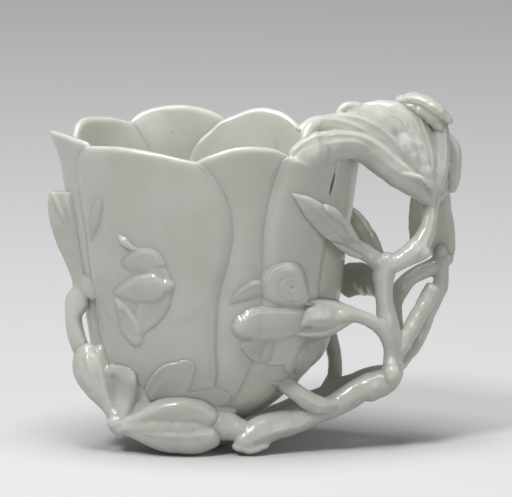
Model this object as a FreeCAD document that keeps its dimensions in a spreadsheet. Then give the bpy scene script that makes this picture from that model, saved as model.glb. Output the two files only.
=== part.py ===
import FreeCAD, Part
import math
import os
from collections import namedtuple

# A wine cup carved from one piece of pale jade as an open magnolia.
# Nine tepals form the wall, a blossom lies under it, and an openwork magnolia branch is the handle.
# The origin is the middle of the foot's resting face, +X points to the handle, +Y to the back, +Z up.
# Lengths are millimetres and angles are degrees, with angle 0 at the front and 90 at the handle.

SIZES = {
    # The bowl
    "rim_height": 75.0,
    "rim_half_width": 34.5,
    "rim_half_depth": 28.0,
    "bowl_shift": 5.0,
    "wall_thickness": 2.4,
    "lip_thickness": 1.5,
    "petal_step": 0.9,
    "petal_swell": 0.7,
    "lip_flare": 0.8,
    "tip_flare": 3.1,
    "base_top_height": 12.0,
    "floor_height": 8.0,
    "foot_height": 5.5,
    "foot_half_width": 10.0,
    "foot_half_depth": 9.0,
    "foot_round": 0.7,
    # Low carving on the wall
    "relief_height": 1.2,
    "bloom_relief_height": 2.2,
    "relief_edge": 0.35,
    "relief_sink": 0.3,
    # The blossom under the bowl
    "base_calyx_radius": 2.4,
    "base_petal_half_width": 3.1,
    "base_petal_half_thickness": 2.7,
    "side_petal_half_width": 4.3,
    "side_petal_half_thickness": 2.3,
    # The bud spray on the left
    "bud_stem_radius": 1.6,
    "bud_half_width": 2.1,
    "bud_half_thickness": 1.4,
    # The branch handle
    "handle_reach": 25.0,
    "trunk_radius": 2.6,
    "foot_branch_radius": 2.9,
    "twig_radius": 1.8,
    "leaf_half_width": 2.4,
    "leaf_half_thickness": 1.0,
    "broad_leaf_half_width": 5.6,
    "broad_leaf_half_thickness": 1.1,
    # The blossom that crowns the handle
    "crown_calyx_radius": 3.0,
    "crown_petal_half_width": 3.4,
    "crown_petal_half_thickness": 1.7,
    "rolled_petal_half_width": 5.2,
    "rolled_petal_half_thickness": 2.0,
}

# Width of the bowl at each height: shares of the rim's height and of its half width
BOWL_WIDTH_SHARES = (
    (0.067, 0.28), (0.09, 0.40), (0.13, 0.52), (0.19, 0.64), (0.27, 0.77),
    (0.39, 0.855), (0.6, 0.93), (0.8, 0.975), (0.9, 0.99), (1.0, 1.01),
)
# How far the bowl's middle has moved towards the handle at each height, as shares of bowl_shift
BOWL_SHIFT_SHARES = ((0.06, 0.0), (0.2, 0.6), (0.4, 1.15), (0.6, 1.1), (1.0, 1.0))

# The edges between wall petals, from the front left one round by the handle:
# a height share and the angle of the edge there. The last one joins the first.
PETAL_EDGE_ANGLE_SHARES = (
    ((0.16, -58), (0.6, -59), (0.7, -61), (0.8, -64), (0.9, -63), (0.96, -59), (1.0, -50)),
    ((0.16, 9), (0.37, 6), (0.52, 7), (0.62, 9), (0.72, 10), (0.8, 9), (0.86, 6), (0.91, 1), (0.97, -6)),
    ((0.16, 22), (0.5, 23), (0.65, 23), (0.74, 23), (0.84, 25), (0.9, 27), (0.98, 31)),
    ((0.16, 56), (0.5, 57), (0.9, 59), (1.0, 60)),
    ((0.16, 104), (1.0, 106)),
    ((0.16, 136), (0.7, 137), (0.94, 139), (1.0, 144)),
    ((0.16, 184), (0.5, 189), (0.75, 191), (0.86, 189), (0.91, 186), (0.95, 181), (1.0, 175)),
    ((0.16, 205), (0.5, 203), (0.8, 203), (0.89, 205), (0.94, 207), (1.0, 212)),
    ((0.16, 248), (0.7, 252), (0.94, 253), (1.0, 251)),
)

# Each wall petal in the same order: how proud it stands, as a share of petal_step, how much of tip_flare
# it takes, and its top edge, as a place across it from its left edge and a share of the rim's height
WallPetal = namedtuple("WallPetal", "name proud_share flare_share top_shares")
WALL_PETALS = (
    WallPetal("wall_petal_front_left", 1.0, 0.0,
              ((0.0, 0.98), (0.15, 0.995), (0.35, 1.003), (0.75, 0.99), (1.0, 0.966))),
    WallPetal("wall_petal_front_middle", 0.0, 0.0,
              ((0.0, 0.966), (0.2, 0.987), (0.5, 1.012), (0.8, 1.004), (1.0, 0.98))),
    WallPetal("wall_petal_front_right", 1.0, 0.0,
              ((0.0, 0.98), (0.25, 1.0), (0.6, 1.01), (1.0, 0.975))),
    WallPetal("wall_petal_handle_side", 0.0, 0.0,
              ((0.0, 0.975), (0.3, 0.99), (0.6, 0.99), (1.0, 0.95))),
    WallPetal("wall_petal_back_right", 1.0, 0.0,
              ((0.0, 0.95), (0.3, 0.98), (0.6, 0.985), (1.0, 0.945))),
    WallPetal("wall_petal_back_handle", 0.0, 0.0,
              ((0.0, 0.945), (0.12, 0.985), (0.5, 1.017), (0.8, 1.01), (1.0, 0.995))),
    WallPetal("wall_petal_back_middle", 1.0, 0.0,
              ((0.0, 0.995), (0.2, 1.01), (0.5, 1.024), (0.8, 1.014), (1.0, 0.99))),
    WallPetal("wall_petal_back_left", 0.0, 0.0,
              ((0.0, 0.99), (0.2, 1.0), (0.4, 1.007), (0.75, 1.01), (0.9, 0.99), (1.0, 0.95))),
    WallPetal("wall_petal_left_tip", 0.3, 1.0,
              ((0.0, 0.95), (0.2, 0.97), (0.4, 1.015), (0.6, 0.99), (0.8, 0.975), (1.0, 0.98))),
)
# Where across its petal the outward tip is, and how wide it is
TIP_PLACE_SHARE = 0.4
TIP_WIDTH_SHARE = 0.2
# How late towards the top the lip turns out, the tip turns out and the wall thins
LIP_FLARE_POWER = 6
TIP_FLARE_POWER = 8
THINNING_POWER = 3

# Low carving on the wall: the height it stands to, and for each place along its middle line
# an angle round the bowl, a height share and a half width share
Relief = namedtuple("Relief", "height place_shares")
RELIEFS = {
    "left_wall_leaf": Relief("relief_height", (
        (-57, 0.66, 0.15), (-55, 0.73, 0.42), (-51, 0.79, 0.45), (-45, 0.86, 0.12))),
    "left_bloom_middle_petal": Relief("bloom_relief_height", (
        (-47, 0.5, 0.15), (-38, 0.52, 0.65), (-28, 0.54, 0.95), (-18, 0.56, 0.55))),
    "left_bloom_upper_petal": Relief("relief_height", (
        (-45, 0.52, 0.15), (-38, 0.565, 0.6), (-30, 0.6, 0.85), (-24, 0.625, 0.5))),
    "left_bloom_outer_petal": Relief("relief_height", (
        (-20, 0.65, 0.25), (-17, 0.58, 0.6), (-18, 0.49, 0.75), (-24, 0.4, 0.3))),
    "left_bloom_curl": Relief("relief_height", (
        (-37, 0.71, 0.2), (-34, 0.665, 0.42), (-27, 0.655, 0.5), (-20, 0.65, 0.25))),
    "left_bloom_lower_petal": Relief("relief_height", (
        (-45, 0.48, 0.15), (-39, 0.44, 0.5), (-33, 0.39, 0.6), (-29, 0.36, 0.25))),
    "right_bloom_large_petal": Relief("bloom_relief_height", (
        (11, 0.43, 0.65), (19, 0.437, 1.15), (32, 0.435, 1.2), (45, 0.445, 0.5))),
    "right_bloom_bud": Relief("bloom_relief_height", (
        (21, 0.56, 0.5), (27, 0.58, 1.05), (34, 0.575, 1.15), (41, 0.55, 0.6))),
    "right_bloom_left_petal": Relief("relief_height", (
        (11, 0.495, 0.25), (16, 0.525, 0.55), (21, 0.545, 0.35))),
    "right_bloom_under_petal": Relief("relief_height", (
        (14, 0.36, 0.35), (24, 0.33, 0.75), (38, 0.325, 0.8), (50, 0.36, 0.3))),
    "right_bloom_small_petal": Relief("bloom_relief_height", (
        (59, 0.24, 0.3), (55, 0.29, 0.75), (58, 0.34, 0.8), (66, 0.37, 0.35))),
    "base_petal_low": Relief("relief_height", (
        (-48, 0.11, 0.3), (-32, 0.17, 0.8), (-18, 0.23, 1.05), (-9, 0.27, 0.6))),
    "back_bloom_large_petal": Relief("bloom_relief_height", (
        (130, 0.44, 0.4), (143, 0.45, 1.1), (158, 0.44, 1.2), (170, 0.43, 0.6))),
}

# Where a limb's places are measured from
BOWL = "bowl"
HANDLE = "handle"

# Which way a limb's flat side looks
FRONT = FreeCAD.Vector(0, -1, 0)
BACK = FreeCAD.Vector(0, 1, 0)
UP = FreeCAD.Vector(0, 0, 1)
LEFT_FRONT = FreeCAD.Vector(-1, -2, 0)
UP_FRONT = FreeCAD.Vector(0, -1, 1)
HANDLE_SIDE = FreeCAD.Vector(1, -0.4, 0)

# A limb is a branch, leaf or free petal: the sizes that it takes its half width and half thickness from,
# whether its start and its end are rounded, and along it the shares of reach, depth, height and width
Limb = namedtuple("Limb", "side width thickness facing rounded place_shares")
LIMBS = {
    "base_calyx": Limb(BOWL, "base_calyx_radius", "base_calyx_radius", FRONT, (True, True), (
        (-0.54, -0.40, 0.085, 1.0), (-0.47, -0.47, 0.085, 1.0))),
    "base_petal_upper": Limb(
        BOWL, "base_petal_half_width", "base_petal_half_thickness", FRONT, (False, True), (
        (-0.50, -0.48, 0.09, 0.35), (-0.37, -0.59, 0.125, 0.7), (-0.21, -0.65, 0.155, 0.97),
        (-0.04, -0.65, 0.163, 1.0), (0.1, -0.62, 0.155, 0.9))),
    "base_petal_lower": Limb(
        BOWL, "base_petal_half_width", "base_petal_half_thickness", FRONT, (False, True), (
        (-0.50, -0.48, 0.075, 0.35), (-0.35, -0.59, 0.07, 0.75), (-0.18, -0.64, 0.062, 0.98),
        (0.0, -0.64, 0.053, 1.0), (0.1, -0.6, 0.056, 0.95))),
    "base_petal_side": Limb(
        BOWL, "side_petal_half_width", "side_petal_half_thickness", LEFT_FRONT, (False, True), (
        (-0.54, -0.40, 0.1, 0.35), (-0.58, -0.34, 0.14, 0.65), (-0.64, -0.3, 0.18, 0.9),
        (-0.69, -0.27, 0.23, 0.98), (-0.725, -0.24, 0.3, 0.75))),
    "base_petal_curl": Limb(
        BOWL, "side_petal_half_width", "side_petal_half_thickness", LEFT_FRONT, (False, True), (
        (-0.50, -0.44, 0.09, 0.35), (-0.54, -0.43, 0.145, 0.45), (-0.53, -0.44, 0.205, 0.53),
        (-0.49, -0.44, 0.25, 0.5))),
    "left_bud_stem": Limb(BOWL, "bud_stem_radius", "bud_stem_radius", FRONT, (False, False), (
        (-0.75, -0.2, 0.3, 1.2), (-0.81, -0.19, 0.35, 1.0), (-0.835, -0.18, 0.41, 0.95),
        (-0.81, -0.16, 0.47, 1.05), (-0.77, -0.14, 0.53, 1.2))),
    "left_bud_outer": Limb(BOWL, "bud_half_width", "bud_half_thickness", FRONT, (False, False), (
        (-0.77, -0.16, 0.52, 0.8), (-0.82, -0.21, 0.62, 1.0), (-0.88, -0.25, 0.72, 1.05),
        (-0.93, -0.29, 0.825, 0.9))),
    "left_bud_middle": Limb(BOWL, "bud_half_width", "bud_half_thickness", FRONT, (False, False), (
        (-0.79, -0.09, 0.53, 0.8), (-0.83, -0.09, 0.62, 1.0), (-0.87, -0.11, 0.72, 1.1),
        (-0.92, -0.12, 0.83, 0.9))),
    "left_bud_inner": Limb(BOWL, "bud_half_width", "bud_half_thickness", FRONT, (False, False), (
        (-0.79, 0.02, 0.54, 0.7), (-0.82, 0.03, 0.63, 0.9), (-0.86, 0.03, 0.72, 1.0),
        (-0.9, 0.03, 0.78, 0.8))),
    "right_bloom_calyx": Limb(
        BOWL, "leaf_half_width", "crown_petal_half_thickness", FRONT, (True, False), (
        (0.76, -0.77, 0.435, 1.0), (0.88, -0.68, 0.44, 1.3), (0.99, -0.58, 0.445, 1.25),
        (1.08, -0.51, 0.45, 0.9))),
    "handle_trunk": Limb(HANDLE, "trunk_radius", "trunk_radius", FRONT, (False, False), (
        (0.32, -0.25, 0.21, 1.15), (0.36, -0.25, 0.27, 1.1), (0.37, -0.25, 0.32, 1.1),
        (0.31, -0.25, 0.38, 0.9), (0.26, -0.25, 0.44, 0.92), (0.26, -0.25, 0.51, 0.95),
        (0.28, -0.25, 0.575, 1.15))),
    "handle_upper_branch": Limb(HANDLE, "trunk_radius", "trunk_radius", FRONT, (False, False), (
        (0.28, -0.25, 0.56, 0.9), (0.39, -0.23, 0.6, 1.0), (0.52, -0.2, 0.64, 0.98),
        (0.63, -0.14, 0.69, 0.9), (0.7, -0.1, 0.73, 0.85), (0.72, -0.07, 0.77, 0.95))),
    "handle_leaf_twig": Limb(HANDLE, "twig_radius", "twig_radius", FRONT, (False, False), (
        (0.27, -0.25, 0.565, 1.1), (0.17, -0.32, 0.605, 0.9), (0.05, -0.42, 0.65, 0.85),
        (-0.08, -0.52, 0.7, 0.9))),
    "handle_long_leaf": Limb(HANDLE, "leaf_half_width", "leaf_half_thickness", FRONT, (False, False), (
        (-0.06, -0.51, 0.69, 0.6), (-0.2, -0.61, 0.72, 0.95), (-0.35, -0.71, 0.77, 1.0),
        (-0.48, -0.8, 0.81, 0.7), (-0.6, -0.87, 0.85, 0.15))),
    "handle_leaf_bud": Limb(HANDLE, "leaf_half_width", "leaf_half_thickness", FRONT, (False, True), (
        (-0.04, -0.46, 0.68, 0.6), (-0.14, -0.54, 0.73, 0.8), (-0.22, -0.61, 0.765, 0.7),
        (-0.29, -0.67, 0.795, 0.4))),
    "handle_small_leaf": Limb(HANDLE, "leaf_half_width", "leaf_half_thickness", FRONT, (False, False), (
        (0.09, -0.43, 0.63, 0.4), (-0.03, -0.5, 0.65, 0.6), (-0.13, -0.57, 0.665, 0.5),
        (-0.22, -0.64, 0.68, 0.15))),
    "handle_bloom_stem": Limb(HANDLE, "twig_radius", "twig_radius", FRONT, (False, False), (
        (-0.2, -0.5, 0.45, 1.2), (-0.05, -0.48, 0.445, 0.9), (0.08, -0.46, 0.44, 0.88),
        (0.2, -0.43, 0.41, 0.92), (0.3, -0.39, 0.36, 1.0), (0.33, -0.35, 0.31, 1.05),
        (0.32, -0.31, 0.25, 1.1))),
    "handle_foot_branch": Limb(
        HANDLE, "foot_branch_radius", "foot_branch_radius", FRONT, (False, False), (
        (-1.24, -0.28, 0.045, 0.8), (-1.13, -0.42, 0.04, 0.9), (-1.02, -0.5, 0.04, 0.96),
        (-0.9, -0.5, 0.052, 1.0), (-0.77, -0.48, 0.07, 0.85),
        (-0.62, -0.45, 0.09, 0.82), (-0.45, -0.41, 0.11, 0.85), (-0.28, -0.38, 0.13, 0.9),
        (-0.1, -0.34, 0.155, 1.0), (0.05, -0.3, 0.18, 1.08), (0.2, -0.27, 0.21, 1.05),
        (0.33, -0.25, 0.26, 0.95))),
    "handle_crossing_twig": Limb(BOWL, "twig_radius", "twig_radius", FRONT, (True, True), (
        (0.578, -0.6, 0.25, 0.9), (0.655, -0.58, 0.21, 1.05), (0.754, -0.52, 0.18, 1.0),
        (0.862, -0.45, 0.15, 1.0), (0.957, -0.39, 0.14, 1.0))),
    "handle_cut_twig": Limb(HANDLE, "twig_radius", "twig_radius", FRONT, (False, True), (
        (0.37, -0.21, 0.3, 1.2), (0.45, -0.18, 0.35, 1.1), (0.56, -0.12, 0.41, 1.1),
        (0.67, -0.09, 0.47, 1.1), (0.72, -0.07, 0.5, 1.05))),
    "rear_outer_branch": Limb(HANDLE, "twig_radius", "twig_radius", HANDLE_SIDE, (False, False), (
        (0.33, -0.16, 0.24, 1.2), (0.45, 0.08, 0.27, 1.1), (0.57, 0.24, 0.31, 1.0),
        (0.69, 0.29, 0.4, 1.0), (0.8, 0.29, 0.5, 1.0), (0.8, 0.29, 0.58, 1.1))),
    "rear_broad_leaf": Limb(
        HANDLE, "broad_leaf_half_width", "broad_leaf_half_thickness", FRONT, (False, False), (
        (0.72, 0.29, 0.56, 0.95), (0.72, 0.29, 0.63, 1.0), (0.7, 0.27, 0.71, 0.95),
        (0.7, 0.22, 0.8, 0.8))),
    "rear_leaf": Limb(HANDLE, "leaf_half_width", "leaf_half_thickness", FRONT, (False, False), (
        (0.27, -0.2, 0.56, 0.9), (0.18, 0.08, 0.59, 1.0), (0.07, 0.32, 0.64, 1.2),
        (-0.03, 0.46, 0.69, 0.9), (-0.1, 0.54, 0.73, 0.3))),
    "rear_small_leaf": Limb(HANDLE, "leaf_half_width", "leaf_half_thickness", FRONT, (False, False), (
        (0.26, -0.2, 0.5, 0.8), (0.14, 0.12, 0.51, 1.1), (-0.01, 0.38, 0.5, 1.4),
        (-0.13, 0.5, 0.46, 0.9))),
    "rear_foot_branch": Limb(HANDLE, "twig_radius", "twig_radius", BACK, (False, False), (
        (-1.23, 0.26, 0.04, 1.1), (-1.0, 0.42, 0.038, 1.1), (-0.73, 0.46, 0.065, 1.2),
        (-0.45, 0.46, 0.1, 1.2), (-0.11, 0.39, 0.155, 1.2), (0.12, 0.18, 0.2, 1.2),
        (0.3, -0.15, 0.235, 1.2))),
    "rear_rising_twig": Limb(BOWL, "twig_radius", "twig_radius", BACK, (False, False), (
        (0.928, 0.43, 0.122, 0.75), (0.993, 0.5, 0.18, 0.95), (0.986, 0.55, 0.26, 0.95),
        (0.942, 0.59, 0.34, 1.0), (0.855, 0.6, 0.425, 1.1))),
    "crown_calyx": Limb(HANDLE, "crown_calyx_radius", "crown_calyx_radius", FRONT, (False, True), (
        (0.7, -0.09, 0.73, 0.75), (0.72, -0.06, 0.77, 1.0), (0.72, -0.04, 0.81, 1.15))),
    "crown_petal_arm": Limb(
        HANDLE, "crown_petal_half_width", "crown_petal_half_thickness", FRONT, (False, True), (
        (0.72, -0.09, 0.78, 0.6), (0.57, -0.22, 0.825, 0.85), (0.39, -0.29, 0.885, 0.95),
        (0.2, -0.34, 0.935, 1.0), (0.0, -0.42, 0.965, 1.05), (-0.21, -0.54, 0.96, 1.15),
        (-0.38, -0.66, 0.93, 1.1))),
    "crown_petal_front": Limb(
        HANDLE, "crown_petal_half_width", "crown_petal_half_thickness", FRONT, (False, False), (
        (0.72, -0.16, 0.8, 0.65), (0.61, -0.29, 0.87, 0.9), (0.43, -0.36, 0.945, 0.95),
        (0.2, -0.4, 1.005, 0.85), (-0.07, -0.43, 1.04, 0.6), (-0.31, -0.47, 1.055, 0.25))),
    "crown_petal_upper": Limb(
        HANDLE, "crown_petal_half_width", "crown_petal_half_thickness", UP_FRONT, (False, False), (
        (0.74, -0.05, 0.8, 0.6), (0.65, -0.18, 0.89, 0.85), (0.48, -0.26, 0.975, 1.0),
        (0.28, -0.26, 1.04, 1.0), (0.04, -0.26, 1.07, 0.8), (-0.17, -0.26, 1.08, 0.35))),
    "crown_petal_top": Limb(
        HANDLE, "crown_petal_half_width", "crown_petal_half_thickness", UP, (False, False), (
        (0.74, 0.0, 0.79, 0.6), (0.71, 0.0, 0.91, 1.0), (0.58, 0.0, 1.01, 1.3),
        (0.38, 0.0, 1.065, 1.4), (0.14, 0.0, 1.08, 1.1), (-0.06, 0.0, 1.075, 0.45))),
    "crown_petal_right": Limb(
        HANDLE, "crown_petal_half_width", "crown_petal_half_thickness", UP_FRONT, (False, False), (
        (0.76, -0.1, 0.79, 0.6), (0.8, -0.22, 0.9, 0.95), (0.75, -0.25, 1.0, 1.0),
        (0.62, -0.19, 1.06, 0.95), (0.47, -0.11, 1.08, 0.6))),
    "crown_petal_rolled": Limb(
        HANDLE, "rolled_petal_half_width", "rolled_petal_half_thickness", UP, (True, True), (
        (0.49, -0.08, 1.1, 0.8), (0.6, -0.08, 1.1, 1.0), (0.7, -0.08, 1.08, 1.0),
        (0.79, -0.06, 1.05, 0.8))),
    "crown_petal_outer": Limb(
        HANDLE, "crown_petal_half_width", "crown_petal_half_thickness", HANDLE_SIDE, (False, True), (
        (0.8, 0.08, 0.79, 0.6), (0.88, 0.12, 0.83, 1.1), (0.9, 0.15, 0.88, 1.25),
        (0.88, 0.15, 0.94, 1.1))),
    "crown_petal_rear_upper": Limb(
        HANDLE, "crown_petal_half_width", "crown_petal_half_thickness", BACK, (False, False), (
        (0.77, 0.07, 0.82, 0.7), (0.74, 0.17, 0.91, 1.0), (0.59, 0.21, 0.99, 1.1),
        (0.36, 0.19, 1.03, 0.8))),
    "crown_petal_rear": Limb(
        HANDLE, "crown_petal_half_width", "crown_petal_half_thickness", BACK, (False, False), (
        (0.72, 0.03, 0.78, 0.6), (0.6, 0.18, 0.85, 1.0), (0.42, 0.3, 0.92, 1.2),
        (0.2, 0.37, 0.98, 1.2), (-0.05, 0.43, 1.0, 0.9), (-0.28, 0.5, 0.99, 0.4))),
}

# What each piece grows out of: its own stone stops where these already are
FRONT_PETALS = ("wall_petal_front_middle", "wall_petal_front_right")
CARRIED_BY = {
    "left_wall_leaf": ("wall_petal_front_left",),
    "left_bloom_middle_petal": ("wall_petal_front_left",),
    "left_bloom_upper_petal": ("wall_petal_front_left", "left_bloom_middle_petal"),
    "left_bloom_outer_petal": ("wall_petal_front_left", "left_bloom_middle_petal"),
    "left_bloom_curl": ("wall_petal_front_left", "left_bloom_upper_petal", "left_bloom_outer_petal"),
    "left_bloom_lower_petal": ("wall_petal_front_left", "left_bloom_middle_petal"),
    "right_bloom_large_petal": FRONT_PETALS,
    "right_bloom_bud": FRONT_PETALS,
    "right_bloom_left_petal": FRONT_PETALS + ("right_bloom_bud",),
    "right_bloom_under_petal": FRONT_PETALS,
    "right_bloom_small_petal": ("wall_petal_front_right", "wall_petal_handle_side"),
    "right_bloom_calyx": ("right_bloom_large_petal", "wall_petal_front_right"),
    "base_petal_low": ("bowl_base", "wall_petal_front_left"),
    "back_bloom_large_petal": ("wall_petal_back_right", "wall_petal_back_handle"),
    "base_petal_upper": ("base_calyx", "bowl_base", "wall_petal_front_left", "wall_petal_front_middle",
                         "base_petal_low"),
    "base_petal_lower": ("base_calyx", "base_petal_upper"),
    "base_petal_side": ("wall_petal_front_left", "wall_petal_left_tip", "bowl_base", "base_calyx"),
    "base_petal_curl": ("wall_petal_front_left", "base_calyx", "base_petal_side", "base_petal_upper"),
    "left_bud_stem": ("wall_petal_left_tip", "base_petal_side"),
    "left_bud_outer": ("wall_petal_left_tip", "left_bud_stem"),
    "left_bud_middle": ("wall_petal_left_tip", "left_bud_stem", "left_bud_outer"),
    "left_bud_inner": ("wall_petal_left_tip", "left_bud_middle"),
    "handle_upper_branch": ("handle_trunk",),
    "handle_leaf_twig": ("handle_trunk", "handle_upper_branch"),
    "handle_long_leaf": ("wall_petal_front_right", "handle_leaf_twig"),
    "handle_leaf_bud": ("wall_petal_front_right", "handle_leaf_twig", "handle_long_leaf"),
    "handle_small_leaf": ("handle_leaf_twig",),
    "handle_bloom_stem": ("handle_trunk", "right_bloom_calyx"),
    "handle_foot_branch": ("foot", "bowl_base", "handle_trunk", "handle_bloom_stem"),
    "handle_crossing_twig": ("wall_petal_front_right", "handle_foot_branch"),
    "handle_cut_twig": ("handle_trunk",),
    "rear_outer_branch": ("handle_trunk", "handle_foot_branch"),
    "rear_broad_leaf": ("rear_outer_branch",),
    "rear_leaf": ("handle_trunk", "handle_upper_branch"),
    "rear_small_leaf": ("handle_trunk",),
    "rear_foot_branch": ("foot", "bowl_base", "handle_trunk", "handle_foot_branch", "rear_outer_branch"),
    "rear_rising_twig": ("wall_petal_back_right", "back_bloom_large_petal", "rear_foot_branch"),
    "crown_calyx": ("handle_upper_branch",),
    "crown_petal_arm": ("wall_petal_front_right", "wall_petal_handle_side", "handle_upper_branch",
                        "crown_calyx"),
    "crown_petal_front": ("crown_calyx", "crown_petal_arm"),
    "crown_petal_upper": ("crown_calyx", "crown_petal_arm", "crown_petal_front"),
    "crown_petal_top": ("crown_calyx", "crown_petal_upper"),
    "crown_petal_right": ("crown_calyx", "crown_petal_arm", "crown_petal_front", "crown_petal_upper",
                          "crown_petal_top"),
    "crown_petal_rolled": ("crown_petal_right",),
    "crown_petal_outer": ("crown_calyx",),
    "crown_petal_rear_upper": ("crown_calyx", "crown_petal_top", "crown_petal_outer"),
    "crown_petal_rear": ("crown_calyx", "crown_petal_top", "crown_petal_outer", "crown_petal_rear_upper",
                         "wall_petal_back_right"),
}

# Rounded end of a limb: shares of its half thickness beyond the end, and of its width there
ROUND_END_SHARES = ((0.45, 0.9), (0.8, 0.62), (0.98, 0.25))
# Places across a wall petal and up it where its surface is set
ACROSS_SHARES = (0.0, 0.12, 0.3, 0.5, 0.7, 0.88, 1.0)
UP_SHARES = (0.0, 0.1, 0.22, 0.38, 0.55, 0.72, 0.86, 0.95, 1.0)
# Heights of the bowl base's sections, from the foot to the petals
BASE_RISE_SHARES = (0.0, 0.3, 0.65, 1.0)
# The hollow in the bowl's base, from its mouth to its floor: the height and how wide it is there
HOLLOW_SHARES = ((1.0, 1.0), (0.55, 0.9), (0.15, 0.65), (0.0, 0.35))
# How high a relief stands at its first and last place
RELIEF_END_SHARE = 0.35
# Half width of the widest relief, as a share of the rim's height that the reliefs' places share
RELIEF_HALF_WIDTH_SHARE = 0.048
# Places across a relief and how high it stands there
RELIEF_CROSS_SHARES = ((-1.0, 0.0), (-0.72, 0.65), (0.0, 1.0), (0.72, 0.65), (1.0, 0.0))

doc = FreeCAD.newDocument("MagnoliaCup")
sheet = doc.addObject("Spreadsheet::Sheet", "sizes")
for row, (alias, value) in enumerate(SIZES.items(), start=1):
    sheet.set(f"A{row}", alias)
    sheet.set(f"B{row}", str(value))
    sheet.setAlias(f"B{row}", alias)
doc.recompute()

nodes = {}


def size(alias):
    """Read one driving size from the sheet."""
    return float(sheet.get(alias))


def smooth(shares, at):
    """Read a smooth curve through a table of (place, value) pairs."""
    at = min(max(at, shares[0][0]), shares[-1][0])
    slopes = [(b[1] - a[1]) / (b[0] - a[0]) for a, b in zip(shares, shares[1:])]
    leans = [slopes[0]] + [(a + b) / 2 for a, b in zip(slopes, slopes[1:])] + [slopes[-1]]
    for (low, high), (lean_low, lean_high) in zip(zip(shares, shares[1:]), zip(leans, leans[1:])):
        if at <= high[0]:
            span = high[0] - low[0]
            u = (at - low[0]) / span
            return (low[1] * (2 * u ** 3 - 3 * u ** 2 + 1) + high[1] * (3 * u ** 2 - 2 * u ** 3)
                    + span * (lean_low * (u ** 3 - 2 * u ** 2 + u) + lean_high * (u ** 3 - u ** 2)))
    return shares[-1][1]


def bowl_half(height_share):
    """Give the bowl's half width and half depth at a height."""
    share = smooth(BOWL_WIDTH_SHARES, height_share)
    return size("rim_half_width") * share, size("rim_half_depth") * share


def bowl_middle(height_share):
    """Give how far the bowl's middle lies towards the handle at a height."""
    return size("bowl_shift") * smooth(BOWL_SHIFT_SHARES, height_share)


def wall_point(angle, height_share, out):
    """Give a point of the wall, out millimetres outside its plain outer face."""
    half_width, half_depth = bowl_half(height_share)
    turn = math.radians(angle)
    return FreeCAD.Vector(
        bowl_middle(height_share) + (half_width + out) * math.sin(turn),
        -(half_depth + out) * math.cos(turn),
        size("rim_height") * height_share,
    )


def petal_out(petal, across, rise):
    """Give how far a wall petal stands outside the plain wall, across it and up it."""
    grown = min(1, rise / UP_SHARES[2])
    swell = size("petal_swell") * math.sin(math.pi * across)
    return (size("petal_step") * petal.proud_share + swell) * grown


def petal_edges(index):
    """Give a wall petal's two edges and what turns the second one past the first."""
    is_last = index == len(WALL_PETALS) - 1
    right_edge = PETAL_EDGE_ANGLE_SHARES[0 if is_last else index + 1]
    return PETAL_EDGE_ANGLE_SHARES[index], right_edge, 360 if is_last else 0


def carved_out(angle, up):
    """Give how far the wall's carved face stands outside the plain wall at a place."""
    low = size("base_top_height") / size("rim_height")
    for index, petal in enumerate(WALL_PETALS):
        left_edge, right_edge, right_turn = petal_edges(index)
        left = smooth(left_edge, up)
        across = (angle - left) / (smooth(right_edge, up) + right_turn - left)
        if 0 <= across <= 1:
            return petal_out(petal, across, max(0, (up - low) / (1 - low)))
    return 0


def face_of(poles):
    """Make a smooth face that follows a grid of poles and ends on its border."""
    rows, columns = len(poles), len(poles[0])
    degree_u, degree_v = min(3, rows - 1), min(3, columns - 1)

    def knots(count, degree):
        spans = count - degree
        return [share / spans for share in range(spans + 1)], [degree + 1] + [1] * (spans - 1) + [degree + 1]

    knots_u, mults_u = knots(rows, degree_u)
    knots_v, mults_v = knots(columns, degree_v)
    surface = Part.BSplineSurface()
    surface.buildFromPolesMultsKnots(
        poles, mults_u, mults_v, knots_u, knots_v, False, False, degree_u, degree_v)
    return surface.toShape()


def solid_between(outer, inner):
    """Make the closed solid between two grids of poles that have the same rows and columns."""
    borders = [
        (outer[0], inner[0]), (outer[-1], inner[-1]),
        ([row[0] for row in outer], [row[0] for row in inner]),
        ([row[-1] for row in outer], [row[-1] for row in inner]),
    ]
    faces = [face_of(outer), face_of(inner)] + [face_of([list(a), list(b)]) for a, b in borders]
    sewn = Part.makeCompound(faces)
    sewn.sewShape()
    solid = Part.makeSolid(sewn.Shells[0])
    if solid.Volume < 0:
        solid.reverse()
    return solid


def keep(name, thing):
    """Give a sub-part its name and put it among the nodes."""
    thing.Label = name
    nodes[name] = thing


def seat(name, thing):
    """Cut a sub-part where the pieces that carry it already are, and keep it."""
    for carrier in CARRIED_BY.get(name, ()):
        cut = doc.addObject("Part::Cut", f"{name}_on_{carrier}")
        cut.Base = thing
        cut.Tool = nodes[carrier]
        cut.Refine = False
        thing = cut
    keep(name, thing)


def computed(name, shape):
    """Put a computed solid in the document."""
    feature = doc.addObject("Part::Feature", name)
    feature.Shape = shape
    feature.Placement = FreeCAD.Placement()
    return feature


def ellipse_section(name, middle, rotation, major, minor):
    """Place one ellipse whose two radii are bound to the sheet by expressions."""
    ellipse = doc.addObject("Part::Ellipse", name)
    ellipse.setExpression("MajorRadius", major)
    ellipse.setExpression("MinorRadius", minor)
    ellipse.Placement = FreeCAD.Placement(middle, rotation)
    return ellipse


def loft(name, sections):
    """Make a solid through a row of sections."""
    body = doc.addObject("Part::Loft", name)
    body.Sections = sections
    body.Solid = True
    body.Ruled = False
    body.MaxDegree = 3
    return body


def limb_place(side, across, deep, up):
    """Turn the shares of a limb's place into a point."""
    depth, height = size("rim_half_depth") * deep, size("rim_height") * up
    if side == HANDLE:
        rim_right = size("bowl_shift") + size("rim_half_width")
        return FreeCAD.Vector(rim_right + size("handle_reach") * across, depth, height)
    return FreeCAD.Vector(size("rim_half_width") * across, depth, height)


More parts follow.
